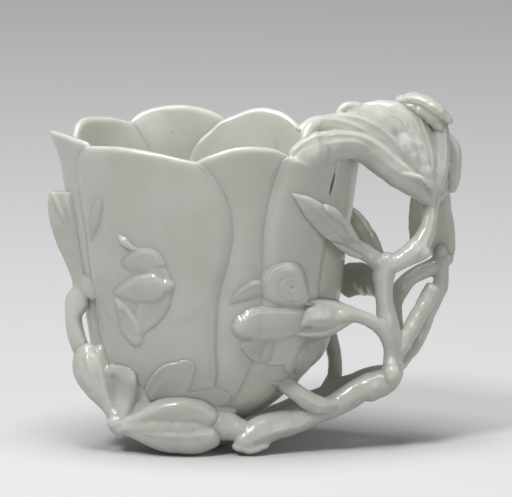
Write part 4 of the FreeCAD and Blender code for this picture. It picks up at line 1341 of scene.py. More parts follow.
@dataclass
class BranchHandle:
    """The branch that stands in front: its trunk, twigs and leaves."""

    dresser: Dresser
    skin: Skin = Skin(0.27, 5, 0.16, 2.2)

    def branchwork(self) -> bpy.types.Object:
        """Shape the trunk and its twigs and melt them into one branch.

        Returns:
            The branch.
        """
        limbs = {
            "trunk": Limb(drawn((
                (392, 372, -7.5, 11, 2.7), (392.5, 355, -7.3, 9.5, 2.5), (391.5, 338, -7.1, 10, 2.5),
                (387, 320, -7, 10.5, 2.5), (384, 303, -7, 9.2, 2.3), (383, 288, -7, 9.2, 2.3),
                (383, 273, -7, 11.5, 2.5), (386, 262, -7, 11, 2.4))),
                waver=0.04, ribs=(Rib(0.15, 0.3, 0.2, 0.35, 0.95),), rings=56),
            "upper": Limb(drawn((
                (384, 268, -7, 9, 2.4), (396, 262, -6.8, 9.5, 2.5), (408, 255, -6.3, 10.5, 2.5),
                (418, 246, -5.6, 10.5, 2.4), (425, 234, -4.6, 9.2, 2.3), (428.5, 220, -3.4, 7.8, 2.1),
                (429.5, 209, -2.6, 8, 2.1), (430, 196, -2, 10.5, 2.5))), waver=0.04,
                knots=(Knot(0.36, 0.06, 0.06),), rings=56),
            "upper_stub": Limb(drawn((
                (414, 256, -6, 7.5, 1.8), (421, 254, -6.4, 6.5, 1.6), (427, 251, -6.8, 5.5, 1.4))),
                end=End.BLUNT, rings=12),
            "leaf_twig": Limb(drawn((
                (385, 268, -7, 9, 2.1), (374, 259, -7.6, 9, 2.0), (362, 251, -9.2, 8.2, 1.8),
                (350, 244, -11.8, 8.4, 1.7), (340, 237, -14.4, 7, 1.4))), rings=30,
                ribs=(Rib(0.0, 0.25, 0.16, 0.0, 0.8),)),
            "sepal_middle": Limb(drawn((
                (299, 325, -19.6, 2.0, 0.8), (307, 318, -19.0, 9.5, 1.3), (320, 316, -17.4, 12, 1.7),
                (335, 315.5, -15.2, 10.5, 1.9), (350, 314, -13.4, 7, 1.8))), rings=40, waver=0.02,
                ribs=(Rib(0.1, 0.3, 0.2, 0.2, 0.9),)),
            "sepal_upper": Limb(drawn((
                (308, 300.5, -17.5, 1.8, 0.8), (322, 303.5, -15.9, 4.6, 1.4), (337, 306.5, -14.4, 5.4, 1.6),
                (352, 311, -13.2, 5, 1.6))), rings=34, waver=0.02, ribs=(Rib(-0.5, 0.3, 0.2, 0.0, 0.9),)),
            "sepal_lower": Limb(drawn((
                (294, 332.5, -19.5, 1.8, 0.8), (309, 331.5, -17.5, 5.8, 1.4), (325, 329.0, -15.8, 7.2, 1.6),
                (339, 323, -14.4, 6.5, 1.6), (352, 316, -13.2, 5, 1.6))), rings=40, waver=0.02,
                ribs=(Rib(-0.3, -0.3, 0.16, 0.1, 0.9), Rib(0.3, 0.3, 0.2, 0.1, 0.9))),
            "sepal_bed": Limb(drawn((
                (301, 318, -18.1, 12, 1.3), (316, 316, -16, 15, 1.8), (335, 314.5, -13.4, 13, 2.0),
                (350, 314, -13, 7, 1.8))), rings=30, waver=0.02),
            "bloom_stem": Limb(drawn((
                (340, 315, -15.6, 7, 1.8), (350, 314.5, -13.8, 7.4, 1.9), (362, 317, -12.4, 6.8, 1.8),
                (374, 323, -11.2, 7, 1.8), (384, 333, -10, 7.2, 1.8), (389.5, 346, -9, 7.2, 1.8),
                (391, 360, -8.4, 7.5, 1.9))), rings=64,
                waver=0.04, ribs=(Rib(-0.5, 0.25, 0.15, 0.2, 0.9),)),
            "foot_branch": Limb(drawn((
                (245, 439, -15.8, 10.5, 2.7), (255, 433, -15, 14.5, 3.2), (268, 427, -13.8, 15, 3.4),
                (282, 423.5, -12.4, 14.2, 3.3), (298, 420, -11.6, 12, 3.0),
                (314, 413, -11, 10.5, 2.7), (330, 407, -10.4, 10.5, 2.6), (346, 398, -9.8, 13, 2.8),
                (360, 389, -9.2, 12.5, 2.9), (374, 385, -8.6, 13.5, 3.0), (388, 378, -8, 12.5, 3.0),
                (393, 366, -7.6, 10.5, 2.8))), rings=84, waver=0.05,
                ribs=(Rib(0.25, 0.4, 0.2, 0.05, 0.42),),
                knots=(Knot(0.54, 0.1, 0.03), Knot(0.8, 0.12, 0.03))),
            "foot_stub": Limb(drawn((
                (262, 434, -14.4, 10, 2.6), (250, 440.5, -15.8, 11.5, 2.6), (242, 443.5, -16.2, 8, 2.2))),
                end=End.BLUNT, rings=16),
            "foot_stub_end": Limb(drawn((
                (240, 446, -16.4, 4.5, 2.0), (250, 448.6, -16.4, 4.4, 2.2), (262, 445, -15.6, 4, 2.0))),
                rings=14),
            "foot_neck": Limb(drawn((
                (248, 432, -15, 9, 2.4), (234, 427, -15, 13.5, 2.8), (221, 423, -14.8, 16.5, 3.0),
                (206, 422, -15.0, 18, 3.2), (196, 422, -14.6, 16, 3.0))), rings=24),
            "knot_front": Limb(drawn((
                (391, 364, -10, 6, 1.8), (392, 373, -10.6, 8.5, 2.1), (390, 381, -10.2, 5.5, 1.6))),
                rings=12),
            "crossing_twig": Limb(drawn((
                (278, 377, -12.6, 6, 1.2), (287, 385, -13.2, 8.5, 1.6), (297, 392, -13.8, 9, 1.8),
                (307, 399, -13.8, 9, 1.9), (319, 404.5, -13.2, 9, 1.9), (332, 404, -11.8, 7, 1.6),
                (346, 400, -10.4, 5, 1.2))),
                knots=(Knot(0.62, 0.12, 0.08),), ribs=(Rib(-0.2, 0.35, 0.16, 0.3, 0.9),), rings=36),
            "cut_twig": Limb(drawn((
                (397, 350, -6.6, 9, 2.2), (407, 335, -5.6, 9, 2.2), (416, 318, -4.6, 8.6, 2.1),
                (425, 302, -3.6, 8.6, 2.0), (432, 287, -3, 8, 1.9))), end=End.BLUNT, waver=0.06,
                ribs=(Rib(-0.2, 0.3, 0.2, 0.2, 1.0),)),
        }
        return fused("handle_branch", limbs, self.skin)

    def leaves(self) -> dict[str, Limb]:
        """List the three leaves at the end of the leaf twig by the node that each stands for.

        Returns:
            The leaves by their nodes.
        """
        return {
            "handle_long_leaf": Limb(drawn((
                (354, 247, -10.8, 6, 1.4), (342, 238.5, -14.2, 9, 1.3), (328, 225.5, -18.2, 12, 1.2),
                (315, 213, -21, 11.4, 1.1), (304, 203, -23, 7.4, 0.9), (293, 195.5, -24.4, 1.8, 0.5))),
                cup=0.12, ribs=(Rib(0.05, -0.3, 0.1, 0.1, 0.85), Rib(-0.75, 0.22, 0.14, 0.1, 0.95)),
                rings=50),
            "handle_leaf_bud": Limb(drawn((
                (355, 246, -10.4, 5.5, 1.4), (348, 235, -13, 7.2, 1.7), (339, 223, -16.2, 7.4, 1.7),
                (331, 214, -18.8, 6.6, 1.5), (325.5, 209, -20.4, 4, 1.2))),
                ribs=(Rib(0.3, -0.3, 0.12, 0.1, 0.9),)),
            "handle_small_leaf": Limb(drawn((
                (364, 256, -8.8, 4, 1.2), (355, 253, -11, 5, 1.2), (344, 248, -13.6, 4.4, 1.1),
                (333, 243, -16.4, 1.4, 0.6))), ribs=(Rib(0.05, -0.22, 0.14, 0.3, 0.95),)),
        }

    def build(self) -> None:
        """Build the branch and its leaves."""
        self.dresser.finish(
            self.branchwork(), "branch_jade", "handle_trunk", "handle_upper_branch", "handle_leaf_twig",
            "handle_bloom_stem", "handle_foot_branch", "handle_crossing_twig", "handle_cut_twig",
            "right_bloom_calyx")
        dress_leaves(self.dresser, self.leaves(), "branch_jade", 0.1, 3.0)


@dataclass
class RearBranch:
    """The branches and leaves behind the handle."""

    dresser: Dresser
    places: Places
    twig_radius: float = 1.8
    skin: Skin = Skin(0.3, 5, 0.16, 2.2)

    def branchwork(self) -> bpy.types.Object:
        """Shape the rear twigs and melt them into one branch.

        Returns:
            The branch.
        """
        at, twig = self.places.handle_side, self.twig_radius
        limbs = {
            "outer": Limb(at((
                (0.33, -0.16, 0.24, 1.2), (0.45, 0.08, 0.27, 1.1), (0.57, 0.24, 0.31, 1.0),
                (0.69, 0.29, 0.4, 1.0), (0.8, 0.29, 0.5, 1.0), (0.8, 0.29, 0.6, 1.1)), twig, twig),
                Facing.HANDLE_SIDE, rings=56, knots=(Knot(0.75, 0.15, 0.05),)),
            "foot": Limb(at((
                (-1.23, 0.26, 0.05, 1.1), (-1.0, 0.42, 0.045, 1.1), (-0.73, 0.46, 0.065, 1.2),
                (-0.45, 0.46, 0.1, 1.2), (-0.11, 0.39, 0.155, 1.2), (0.12, 0.18, 0.2, 1.2),
                (0.3, -0.15, 0.235, 1.2)), twig, twig), Facing.BACK, rings=64,
                knots=(Knot(0.35, 0.15, 0.05), Knot(0.6, 0.15, 0.05))),
            "rising": Limb(at((
                (-0.3, 0.44, 0.12, 1.1), (-0.21, 0.5, 0.18, 1.0), (-0.22, 0.55, 0.26, 0.95),
                (-0.3, 0.57, 0.34, 1.0), (-0.5, 0.57, 0.43, 1.1)), twig, twig), Facing.BACK, rings=44),
            "arch": Limb(drawn((
                (446, 258, 8, 8, 1.9), (435, 266, 8, 8.5, 1.9), (421, 272, 7.6, 8.5, 1.9),
                (408, 280, 7, 8, 1.9), (399, 292, 6, 8, 1.9), (395, 306, 4.5, 7.5, 1.8),
                (396, 322, 2.5, 7, 1.7), (400, 340, -1, 7, 1.7))),
                rings=60, knots=(Knot(0.5, 0.12, 0.06),)),
        }
        return fused("rear_branch", limbs, self.skin)

    def leaves(self) -> dict[str, Limb]:
        """List the rear leaves by the node that each stands for.

        Returns:
            The leaves by their nodes.
        """
        at = self.places.handle_side
        return {
            "rear_broad_leaf": Limb(at((
                (0.72, 0.29, 0.585, 0.95), (0.72, 0.29, 0.64, 1.0), (0.7, 0.27, 0.71, 0.95),
                (0.7, 0.22, 0.8, 0.8)), 5.5, 1.0), start=End.CUT, round_power=0.7, cup=-0.05, waver=0.02,
                ribs=(Rib(-0.4, 0.3, 0.12), Rib(0.3, -0.3, 0.1), Rib(0.75, 0.25, 0.1))),
            "rear_leaf": Limb(at((
                (0.27, -0.2, 0.56, 0.9), (0.18, 0.08, 0.59, 1.0), (0.07, 0.32, 0.64, 1.2),
                (-0.03, 0.46, 0.69, 0.9), (-0.1, 0.54, 0.73, 0.3)), 2.4, 1.1), cup=0.1,
                ribs=(Rib(0.0, 0.3, 0.15), Rib(0.6, 0.2, 0.12))),
            "rear_small_leaf": Limb(at((
                (0.26, -0.2, 0.5, 0.8), (0.14, 0.12, 0.51, 1.1), (-0.01, 0.38, 0.5, 1.4),
                (-0.13, 0.5, 0.46, 0.9)), 3.1, 1.1), cup=0.1, ribs=(Rib(0.0, -0.25, 0.15),)),
        }

    def build(self) -> None:
        """Build the rear branch and its leaves."""
        # The rear pieces take the darker jade that paints their shade
        self.dresser.finish(
            self.branchwork(), "rear_jade", "rear_outer_branch", "rear_foot_branch", "rear_rising_twig")
        dress_leaves(self.dresser, self.leaves(), "rear_jade", 0.12, 2.5)


@dataclass
class CrownBlossom:
    """The blossom that hangs over the top of the handle."""

    dresser: Dresser
    places: Places
    skin: Skin = Skin(0.22, 2, 0.12, 2.6)
    roll_skin: Skin = Skin(0.24, 2, 0.25, 1.2)
    flap_skin: Skin = Skin(0.26, 3)

    def front_limbs(self) -> dict[str, Limb]:
        """List the parts of the blossom that melt into each other.

        Returns:
            The limbs by their names.
        """
        return {
            "core": Limb(drawn((
                (430, 203, -2, 8, 2.6), (429, 190, -1.6, 11, 3.4), (424, 172, -1, 15, 4.2),
                (416, 150, -0.4, 17, 4.6), (406, 130, 0, 15, 4.4), (394, 116, 0, 9, 3.0))), rings=40),
            "arm": Limb(drawn((
                (305, 158, -21.4, 13, 1.1), (316, 153, -20.1, 17.4, 1.9), (326, 150, -18.3, 17.5, 2.4),
                (340, 147, -15.2, 15.6, 2.6), (355, 147, -12.2, 13.8, 2.6), (371, 155, -10, 14.5, 2.6),
                (387, 168, -8.6, 14.2, 2.5), (402, 179, -7, 12.8, 2.4), (416, 189, -5, 10.6, 2.3),
                (427, 199, -2.8, 7.5, 2.2))), cup=-0.1, rings=80,
                ribs=(Rib(-0.84, 0.55, 0.09, 0.1, 0.8), Rib(-0.6, -0.28, 0.1, 0.15, 0.8),
                    Rib(-0.42, 0.3, 0.07, 0.1, 0.45),
                      Rib(0.1, -0.16, 0.16, 0.45, 0.95))),
            "web": Limb(drawn((
                (303, 150, -20.8, 5, 1.4), (304.5, 140, -19.6, 6, 1.7), (308, 131.5, -18, 7, 1.7),
                (316, 126, -15.8, 7, 1.6))), rings=16),
            "front": Limb(drawn((
                (300, 130, -18.2, 3.6, 1.1), (308, 127.5, -16.8, 7, 1.6), (320, 126.5, -14.8, 9.6, 1.9),
                (333, 128, -12.6, 10.8, 2.0), (347, 132.5, -10.8, 11.6, 2.0), (362, 140, -9, 12, 2.0),
                (376, 150, -7.4, 12, 1.9), (390, 162, -6.4, 10.5, 1.9), (404, 176, -5.2, 9, 1.9),
                (418, 189, -3.6, 7, 1.8))),
                cup=-0.12, rings=64, ribs=(Rib(-0.8, 0.55, 0.1, 0.1, 0.9), Rib(-0.5, -0.25, 0.1, 0.2, 0.9))),
            "second": Limb(drawn((
                (319, 119.5, -13.2, 2.6, 0.9), (334, 119.5, -11.6, 4.6, 1.2), (350, 122.5, -9.6, 8.5, 1.6),
                (366, 129.5, -8, 10.5, 1.8), (380, 139, -6.8, 11.5, 1.9), (391, 150, -5.8, 11.6, 1.9),
                (401, 161, -4.6, 11, 1.9), (411, 175, -3.8, 9, 1.9), (421, 189, -3, 7, 1.8))),
                cup=-0.12, rings=64, ribs=(Rib(-0.78, 0.55, 0.1, 0.1, 0.9),
                    Rib(-0.4, -0.25, 0.12, 0.2, 0.9))),
            "third": Limb(drawn((
                (340, 112.5, -8, 4, 1.2), (353, 112, -7.4, 8.6, 1.6), (369, 116.5, -6.2, 11.8, 1.9),
                (384, 124.5, -5, 13.5, 2.0), (395, 134, -3.8, 14, 2.1), (404, 148, -3.4, 13.5, 2.1),
                (412, 163, -3, 11.5, 2.0), (420, 180, -2.6, 8.5, 1.9))),
                Facing.UP_FRONT, cup=-0.12, rings=60,
                ribs=(Rib(-0.72, 0.5, 0.1, 0.1, 0.85), Rib(0.7, 0.45, 0.1, 0.1, 0.85),
                    Rib(0.35, -0.25, 0.12, 0.2, 0.8))),
            "third_curl": Limb(drawn((
                (336, 116.5, -9.4, 2.2, 0.8), (340, 110.5, -8.8, 3.4, 1.1), (346, 106.8, -8, 4, 1.3),
                (355, 107, -7, 4.4, 1.4))), rings=20),
            "calyx_edge": Limb(drawn((
                (387, 176, -9.8, 1.4, 0.7), (397, 174, -9.4, 2, 0.9), (409, 175, -8.8, 2, 0.9),
                (421, 179, -7.2, 2, 0.9), (429, 187, -5.4, 1.8, 0.8))), rings=24, waver=0.02),
            "fourth": Limb(drawn((
                (366, 108, -2.2, 5, 1.2), (382, 109, -1.6, 9, 1.8), (398, 114, -1.4, 13, 2.2),
                (410, 124, -1.4, 15.5, 2.4), (418, 140, -1.6, 16, 2.5), (424, 158, -2, 14, 2.4),
                (428, 176, -2.2, 11, 2.2), (430, 192, -2.2, 8, 2.0))),
                Facing.UP_FRONT, rings=60, ribs=(
                    Rib(-0.4, 0.7, 0.1, 0.35, 0.85), Rib(-0.02, 0.65, 0.1, 0.4, 0.85),
                    Rib(0.36, 0.65, 0.1, 0.4, 0.85), Rib(0.74, 0.45, 0.12, 0.3, 0.85),
                    Rib(-0.2, -0.3, 0.08, 0.4, 0.85), Rib(0.17, -0.3, 0.08, 0.4, 0.85),
                    Rib(0.55, -0.25, 0.08, 0.4, 0.85))),
            "facet": Limb(drawn((
                (395, 134, -4.2, 6, 1.4), (403, 143, -4.6, 9, 1.7), (410, 154, -4.6, 8, 1.6),
                (417, 168, -4.0, 5, 1.4))), Facing.UP_FRONT, rings=16),
            "right": Limb(drawn((
                (434, 112, 0.6, 7, 1.8), (439, 126, 0, 8, 2.0), (441, 142, -0.8, 8, 2.1),
                (441, 160, -1.4, 8, 2.1), (438, 178, -1.8, 8, 2.0), (433, 194, -2, 7, 2.0))), rings=40,
                ribs=(Rib(-0.5, 0.4, 0.16, 0.1, 0.8), Rib(0.4, 0.3, 0.16, 0.1, 0.8))),
        }

    def rear_limbs(self) -> dict[str, Limb]:
        """List the petals at the back that melt into each other.

        Returns:
            The limbs by their names.
        """
        at = self.places.handle_side
        return {
            "upper": Limb(at((
                (0.77, 0.07, 0.8, 0.8), (0.74, 0.17, 0.91, 1.2), (0.59, 0.21, 0.985, 1.3),
                (0.36, 0.19, 1.03, 1.0)), 3.4, 1.7), Facing.UP_BACK, cup=-0.1, rings=40,
                ribs=(Rib(0.3, 0.25, 0.12, 0.1, 0.9),)),
            "lower": Limb(at((
                (0.72, 0.03, 0.77, 0.7), (0.6, 0.18, 0.85, 1.1), (0.42, 0.28, 0.92, 1.3),
                (0.2, 0.35, 0.96, 1.2), (-0.05, 0.41, 0.965, 0.9), (-0.28, 0.48, 0.95, 0.5)), 3.4, 1.7),
                Facing.BACK, cup=-0.1, rings=50, ribs=(Rib(0.4, 0.25, 0.12, 0.2, 0.95),)),
            "middle": Limb(at((
                (0.74, 0.0, 0.79, 0.8), (0.71, 0.05, 0.9, 1.3), (0.56, 0.08, 0.98, 1.6),
                (0.38, 0.08, 1.02, 1.5), (0.2, 0.06, 1.03, 1.0)), 3.4, 1.7), Facing.UP, cup=-0.12, rings=44),
        }

    def build(self) -> None:
        """Build the petals."""
        blossom = fused("crown_blossom", self.front_limbs(), self.skin)
        self.dresser.finish(
            blossom, "branch_jade", "crown_calyx", "crown_petal_arm", "crown_petal_front",
            "crown_petal_upper", "crown_petal_right")
        back = fused("crown_back_petals", self.rear_limbs(), self.skin)
        self.dresser.finish(
            back, "branch_jade", "crown_petal_top", "crown_petal_rear_upper", "crown_petal_rear")
        rolled = fused("crown_rolled_petal", {
            "roll": Limb(drawn((
                (404, 99.5, 0.6, 4.6, 2.6), (411, 98.6, 0.2, 5.4, 3.4), (420, 100.5, -0.4, 6, 3.8),
                (430, 106, -1.4, 6.4, 3.8), (438, 112, -1.6, 6.2, 3.4), (443.5, 117, -1.4, 5, 2.6))),
                rings=40,
                ribs=(Rib(0.15, -0.55, 0.16, 0.05, 0.9), Rib(-0.55, 0.25, 0.16))),
            "seat": Limb(drawn((
                (410, 106, 0, 6, 2.6), (420, 110, -0.6, 8, 3.2), (432, 118, -1, 9, 3),
                (436, 124, -1, 7, 2.4))), rings=18),
        }, self.roll_skin)
        self.dresser.finish(rolled, "branch_jade", "crown_petal_rolled")
        outer = fused("crown_outer_petal", {
            "flap": Limb(drawn((
                (446, 137, 2.4, 5, 1.4), (451, 148, 2.6, 8.6, 1.7), (452.5, 162, 2.6, 8.4, 1.7),
                (452, 178, 2.6, 7.8, 1.7), (450, 190, 2.6, 6, 1.5))), rings=30, end=End.BLUNT,
                round_power=0.8, ribs=(Rib(-0.1, -0.25, 0.1, 0.2, 0.8),)),
            "seat": Limb(drawn(((436, 170, 1, 7, 2), (444, 166, 2, 8, 1.8), (449, 164, 2.4, 7, 1.6))),
                rings=12),
        }, self.flap_skin)
        self.dresser.finish(outer, "branch_jade", "crown_petal_outer")


@dataclass
class BaseBlossom:
    """The blossom under the left of the bowl."""

    dresser: Dresser
    skin: Skin = Skin(0.27, 4, 0.1, 3.0)

    def limbs(self) -> dict[str, Limb]:
        """List the parts of the blossom that melt into each other.

        Returns:
            The limbs by their names.
        """
        return {
            "calyx": Limb(drawn((
                (117, 415, -12.2, 7.6, 2.0), (117.5, 421.5, -12.6, 10, 2.6), (120, 427.5, -13, 8, 2.4))),
                rings=14),
            "upper_lobe": Limb(drawn((
                (119, 424, -13.0, 3.4, 1.6), (134, 420.5, -14.2, 7, 2.2), (150, 415.5, -15.4, 10.5, 2.8),
                (166, 410, -16.4, 14, 3.2), (182, 408, -16.8, 14.8, 3.4), (197, 410, -16.8, 14, 3.2),
                (207, 415, -16.2, 12, 3.0))), rings=60, round_power=0.8, waver=0.02,
                ribs=(Rib(-0.45, 0.35, 0.2, 0.3, 0.95), Rib(0.3, -0.15, 0.2, 0.3, 0.9))),
            "lower_lobe": Limb(drawn((
                (119, 428, -13.0, 3.4, 1.6), (135, 430.5, -14.2, 7, 2.3), (151, 434, -15.4, 11, 2.8),
                (167, 436.5, -16.4, 14.4, 3.1), (183, 437, -16.8, 15.4, 3.2), (198, 436.5, -16.6, 15.6, 3.2),
                (209, 434, -15.8, 14, 3.0))), rings=60, round_power=0.8, waver=0.02,
                ribs=(Rib(-0.35, 0.4, 0.2, 0.3, 0.95), Rib(0.45, -0.1, 0.2, 0.3, 0.9))),
            "web": Limb(drawn((
                (128, 426, -13.6, 8, 2.4), (150, 425, -15.4, 12, 3.0), (172, 424.5, -16.4, 12, 3.4),
                (196, 424, -16.2, 12, 3.4), (206, 424, -15.4, 11, 3.0))), rings=40),
            "side_petal": Limb(drawn((
                (113, 412, -11.6, 5, 1.8), (107, 401.5, -11.4, 8, 2.2), (99, 388, -11, 13.2, 2.5),
                (91.5, 372, -10.2, 17.4, 2.7), (87.5, 359, -9.2, 15.5, 2.4), (86.5, 351, -8.6, 12, 2.0))),
                Facing.LEFT_FRONT, rings=50, round_power=0.86, waver=0.02,
                ribs=(Rib(-0.28, 0.4, 0.06, 0.5, 0.96), Rib(-0.18, -0.2, 0.06, 0.5, 0.96),
                      Rib(0.45, 0.35, 0.07, 0.62, 1.0), Rib(-0.75, 0.2, 0.14, 0.3, 0.95))),
            "fan": Limb(drawn((
                (121, 425, -13.2, 5, 1.6), (123, 411, -12.7, 10, 1.7), (124, 396, -12.3, 14, 1.6),
                (124.5, 381, -13.2, 17, 1.5), (124, 372, -14.5, 18, 1.3), (123.5, 367, -14.9, 16.5, 1.0))),
                Facing.WALL_LEFT, rings=50, end=End.BLUNT, round_power=0.8, cup=0.06, waver=0.02, ribs=(
                    Rib(-0.8, 0.75, 0.12, 0.0, 0.95), Rib(-0.5, -0.3, 0.14, 0.0, 0.9),
                    Rib(0.05, 0.12, 0.07, 0.5, 1.0), Rib(0.4, 0.12, 0.07, 0.45, 1.0),
                    Rib(0.72, 0.12, 0.07, 0.45, 1.0))),
            "fan_curl": Limb(drawn((
                (108, 370, -11.6, 2.2, 0.8), (114, 367, -13.0, 2.6, 0.8), (123, 366.2, -15.1, 2.6, 0.8),
                (131, 368, -16.9, 1.8, 0.5))), rings=24),
            "fan_bed": Limb(drawn((
                (131, 421, -12.8, 8, 1.6), (137, 410, -13.2, 11, 1.2), (141, 400, -13.2, 12, 1.0),
                (140, 390, -13.9, 10, 0.8), (137, 380, -15.0, 7, 0.5))), Facing.WALL_LEFT, rings=30),
            "lobe_bed": Limb(drawn((
                (138, 416, -12.4, 9, 2.6), (160, 409, -13.4, 13, 3.2), (185, 406, -13.8, 14, 3.2),
                (208, 407, -13.6, 13, 3.2), (226, 409, -13.2, 8, 2.6))), rings=36),
            "seat": Limb(drawn((
                (114, 412, -10, 7, 2.2), (118, 403, -9.6, 12, 2.4), (116, 388, -9.4, 15, 2.2),
                (108, 368, -9, 14, 2.8), (104, 352, -8.6, 8, 2.4))), Facing.LEFT_FRONT, rings=24),
        }

    def build(self) -> None:
        """Build the blossom."""
        blossom = fused("base_blossom", self.limbs(), self.skin)
        self.dresser.finish(
            blossom, "carved_jade", "base_calyx", "base_petal_upper", "base_petal_lower", "base_petal_side",
            "base_petal_curl")


@dataclass
class BudSpray:
    """The stem and the bud leaves on the left side."""

    dresser: Dresser
    skin: Skin = Skin(0.25, 3, 0.1, 3.0)

    def limbs(self) -> dict[str, Limb]:
        """List the parts of the spray that melt into each other.

        Returns:
            The limbs by their names.
        """
        return {
            "sheet": Limb(drawn((
                (65.5, 192, -5.4, 16, 1.2), (65.5, 206, -5.6, 17.6, 1.4), (67.5, 223, -5.8, 17.3, 1.5),
                (71.8, 241, -5.8, 15.3, 1.5), (76.8, 258, -5.8, 12, 1.6), (81.5, 275, -5.8, 9.8, 1.7),
                (83.5, 289, -5.8, 10, 1.8), (78.5, 301, -6, 12.5, 1.9), (74.6, 316, -6.4, 8, 1.9),
                (76.6, 333, -7, 8.2, 1.8), (81.5, 348, -7.6, 8.6, 1.7))), Facing.LEFT_FRONT, rings=90,
                start=End.CUT, round_power=0.7, waver=0.02, ribs=(Rib(-0.9, 0.25, 0.1, 0.0, 0.35),)),
            "bridge": Limb(drawn((
                (81, 283, -5.6, 9, 1.0), (88, 285, -8.0, 12, 1.0), (96, 289, -10.8, 11, 1.0),
                (103, 293, -12.6, 6, 0.6))), Facing.LEFT_FRONT, rings=24, waver=0.02),
            "left_ridge": Limb(drawn((
                (55, 193, -5.8, 3.0, 0.8), (59, 203, -6.5, 3.2, 0.9), (63.5, 213, -7.0, 2.8, 0.8),
                (68, 224, -7.2, 1.6, 0.5))), Facing.LEFT_FRONT, rings=24, start=End.CUT),
            "middle_ridge": Limb(drawn((
                (68, 193, -6.6, 3.4, 0.8), (70, 205, -7.2, 3.4, 0.9), (73, 216, -7.5, 2.8, 0.8),
                (76, 227, -7.6, 1.6, 0.5))), Facing.LEFT_FRONT, rings=24, start=End.CUT),
        }

    def build(self) -> None:
        """Build the spray."""
        spray = fused("left_bud_spray", self.limbs(), self.skin)
        self.dresser.finish(
            spray, "carved_jade", "left_bud_stem", "left_bud_outer", "left_bud_middle", "left_bud_inner")


@dataclass(frozen=True)
class Lamp:
    """A square lamp: its name, its place and side in metres, and its power in watts."""

    name: str
    place: tuple[float, float, float]
    side: float
    power: float


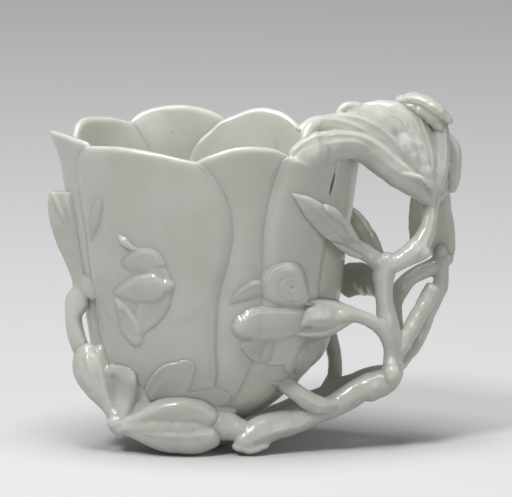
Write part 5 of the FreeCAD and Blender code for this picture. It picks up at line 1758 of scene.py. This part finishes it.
@dataclass
class Studio:
    """The pale floor, the soft lamps and the camera at the picture's angle, in metres."""

    lamps: Sequence[Lamp] = (
        Lamp("key_lamp", (-0.45, -0.55, 0.9), 0.25, 6.0),
        Lamp("fill_lamp", (0.7, -0.7, 0.3), 0.5, 1.6),
        Lamp("top_lamp", (-0.05, -0.1, 1.0), 0.5, 8.0),
    )
    lamp_aim: tuple[float, float, float] = (0.01, 0.0, 0.04)
    floor_radius: float = 6.0
    view_range: tuple[float, float] = (0.1, 30.0)
    camera_distance: float = 2.5
    sensor: float = 36.0
    floor_colour: tuple[float, float, float] = (0.6, 0.6, 0.6)
    floor_bounce: tuple[float, float, float] = (0.38, 0.38, 0.38)
    world_colour: tuple[float, float, float] = (0.72, 0.73, 0.75)
    world_strength: float = 0.3

    def add_floor(self) -> None:
        """Lay a wide pale floor that is clear from below."""
        deselect()
        bpy.ops.mesh.primitive_circle_add(vertices=96, radius=self.floor_radius, fill_type="NGON",
            location=(0, 0, 0))
        floor = bpy.context.object
        floor.name = "studio_floor"
        material = bpy.data.materials.new("floor_paper")
        material.use_nodes = True
        nodes, links = material.node_tree.nodes, material.node_tree.links
        paper = nodes["Principled BSDF"]
        path = nodes.new("ShaderNodeLightPath")
        seen_rays = nodes.new("ShaderNodeMath")
        seen_rays.operation = "MAXIMUM"
        links.new(path.outputs["Is Camera Ray"], seen_rays.inputs[0])
        mirrored = nodes.new("ShaderNodeMath")
        mirrored.operation = "MAXIMUM"
        links.new(path.outputs["Is Glossy Ray"], mirrored.inputs[0])
        links.new(path.outputs["Is Transmission Ray"], mirrored.inputs[1])
        links.new(mirrored.outputs["Value"], seen_rays.inputs[1])
        shown = nodes.new("ShaderNodeMix")
        shown.data_type = "RGBA"
        shown.inputs[6].default_value = (*self.floor_bounce, 1)
        shown.inputs[7].default_value = (*self.floor_colour, 1)
        links.new(seen_rays.outputs["Value"], shown.inputs["Factor"])
        links.new(shown.outputs[2], paper.inputs["Base Color"])
        paper.inputs["Roughness"].default_value = 0.9
        paper.inputs["Specular IOR Level"].default_value = 0.1
        clear = nodes.new("ShaderNodeBsdfTransparent")
        side = nodes.new("ShaderNodeNewGeometry")
        mix = nodes.new("ShaderNodeMixShader")
        links.new(side.outputs["Backfacing"], mix.inputs["Fac"])
        links.new(paper.outputs["BSDF"], mix.inputs[1])
        links.new(clear.outputs["BSDF"], mix.inputs[2])
        links.new(mix.outputs["Shader"], nodes["Material Output"].inputs["Surface"])
        floor.data.materials.append(material)

    def add_lamp(self, lamp: Lamp) -> None:
        """Hang a lamp that looks at the cup.

        Args:
            lamp: What it is like.
        """
        light = bpy.data.lights.new(lamp.name, "AREA")
        light.shape, light.size, light.energy = "SQUARE", lamp.side, lamp.power
        holder = bpy.data.objects.new(lamp.name, light)
        bpy.context.scene.collection.objects.link(holder)
        holder.location = lamp.place
        aim = Vector(self.lamp_aim) - Vector(lamp.place)
        holder.rotation_euler = aim.to_track_quat("-Z", "Y").to_euler()

    def add_world(self) -> None:
        """Give the surroundings a soft even light."""
        world = bpy.data.worlds.new("studio")
        bpy.context.scene.world = world
        world.use_nodes = True
        backdrop = world.node_tree.nodes["Background"]
        backdrop.inputs["Color"].default_value = (*self.world_colour, 1)
        backdrop.inputs["Strength"].default_value = self.world_strength

    def add_camera(self) -> None:
        """Stand the camera where the picture was taken from, with its long lens."""
        data = bpy.data.cameras.new("picture_camera")
        camera = bpy.data.objects.new("picture_camera", data)
        bpy.context.scene.collection.objects.link(camera)
        px_size = MM / PX_PER_MM
        data.sensor_width = self.sensor
        data.lens = self.sensor * self.camera_distance / (PICTURE_PX[0] * px_size)
        data.clip_start, data.clip_end = self.view_range
        across = (PICTURE_PX[0] / 2 - ORIGIN_PX[0]) * px_size
        lift = (ORIGIN_PX[1] - PICTURE_PX[1] / 2) * px_size
        aim = Vector((across, lift * math.sin(TILT), lift * math.cos(TILT)))
        back = Vector((0, -math.cos(TILT), math.sin(TILT)))
        camera.location = aim + back * self.camera_distance
        camera.rotation_euler = (-back).to_track_quat("-Z", "Y").to_euler()
        bpy.context.scene.camera = camera

    def build(self) -> None:
        """Build the whole studio."""
        self.add_floor()
        self.add_world()
        for lamp in self.lamps:
            self.add_lamp(lamp)
        self.add_camera()
        bpy.context.scene.view_settings.view_transform = "Standard"


def main() -> None:
    """Build the cup and its studio."""
    logging.basicConfig(level=logging.INFO, format="%(name)s: %(message)s")
    dresser = Dresser({
        "bowl_jade": Jade("bowl_jade").make(),
        "carved_jade": Jade("carved_jade", cloud_reach=0.012).make(),
        "branch_jade": Jade("branch_jade", colour=(0.54, 0.56, 0.50), cloud_reach=0.012).make(),
        # Painted shade: the rear pieces get a darker copy of the handle's jade, for the shade they stand in
        # behind the handle
        "rear_jade": Jade("rear_jade", colour=(0.50, 0.52, 0.46), cloud_reach=0.012).make(),
    })
    bowl = Bowl(dresser, arm_root(), rim_slit())
    places = Places(bowl)
    bowl.build()
    for relief in reliefs():
        dresser.finish(relief.shape(bowl), "carved_jade", *relief.nodes)
    BaseBlossom(dresser).build()
    BudSpray(dresser).build()
    BranchHandle(dresser).build()
    RearBranch(dresser, places).build()
    CrownBlossom(dresser, places).build()
    Studio().build()


if __name__ == "__main__":
    main()
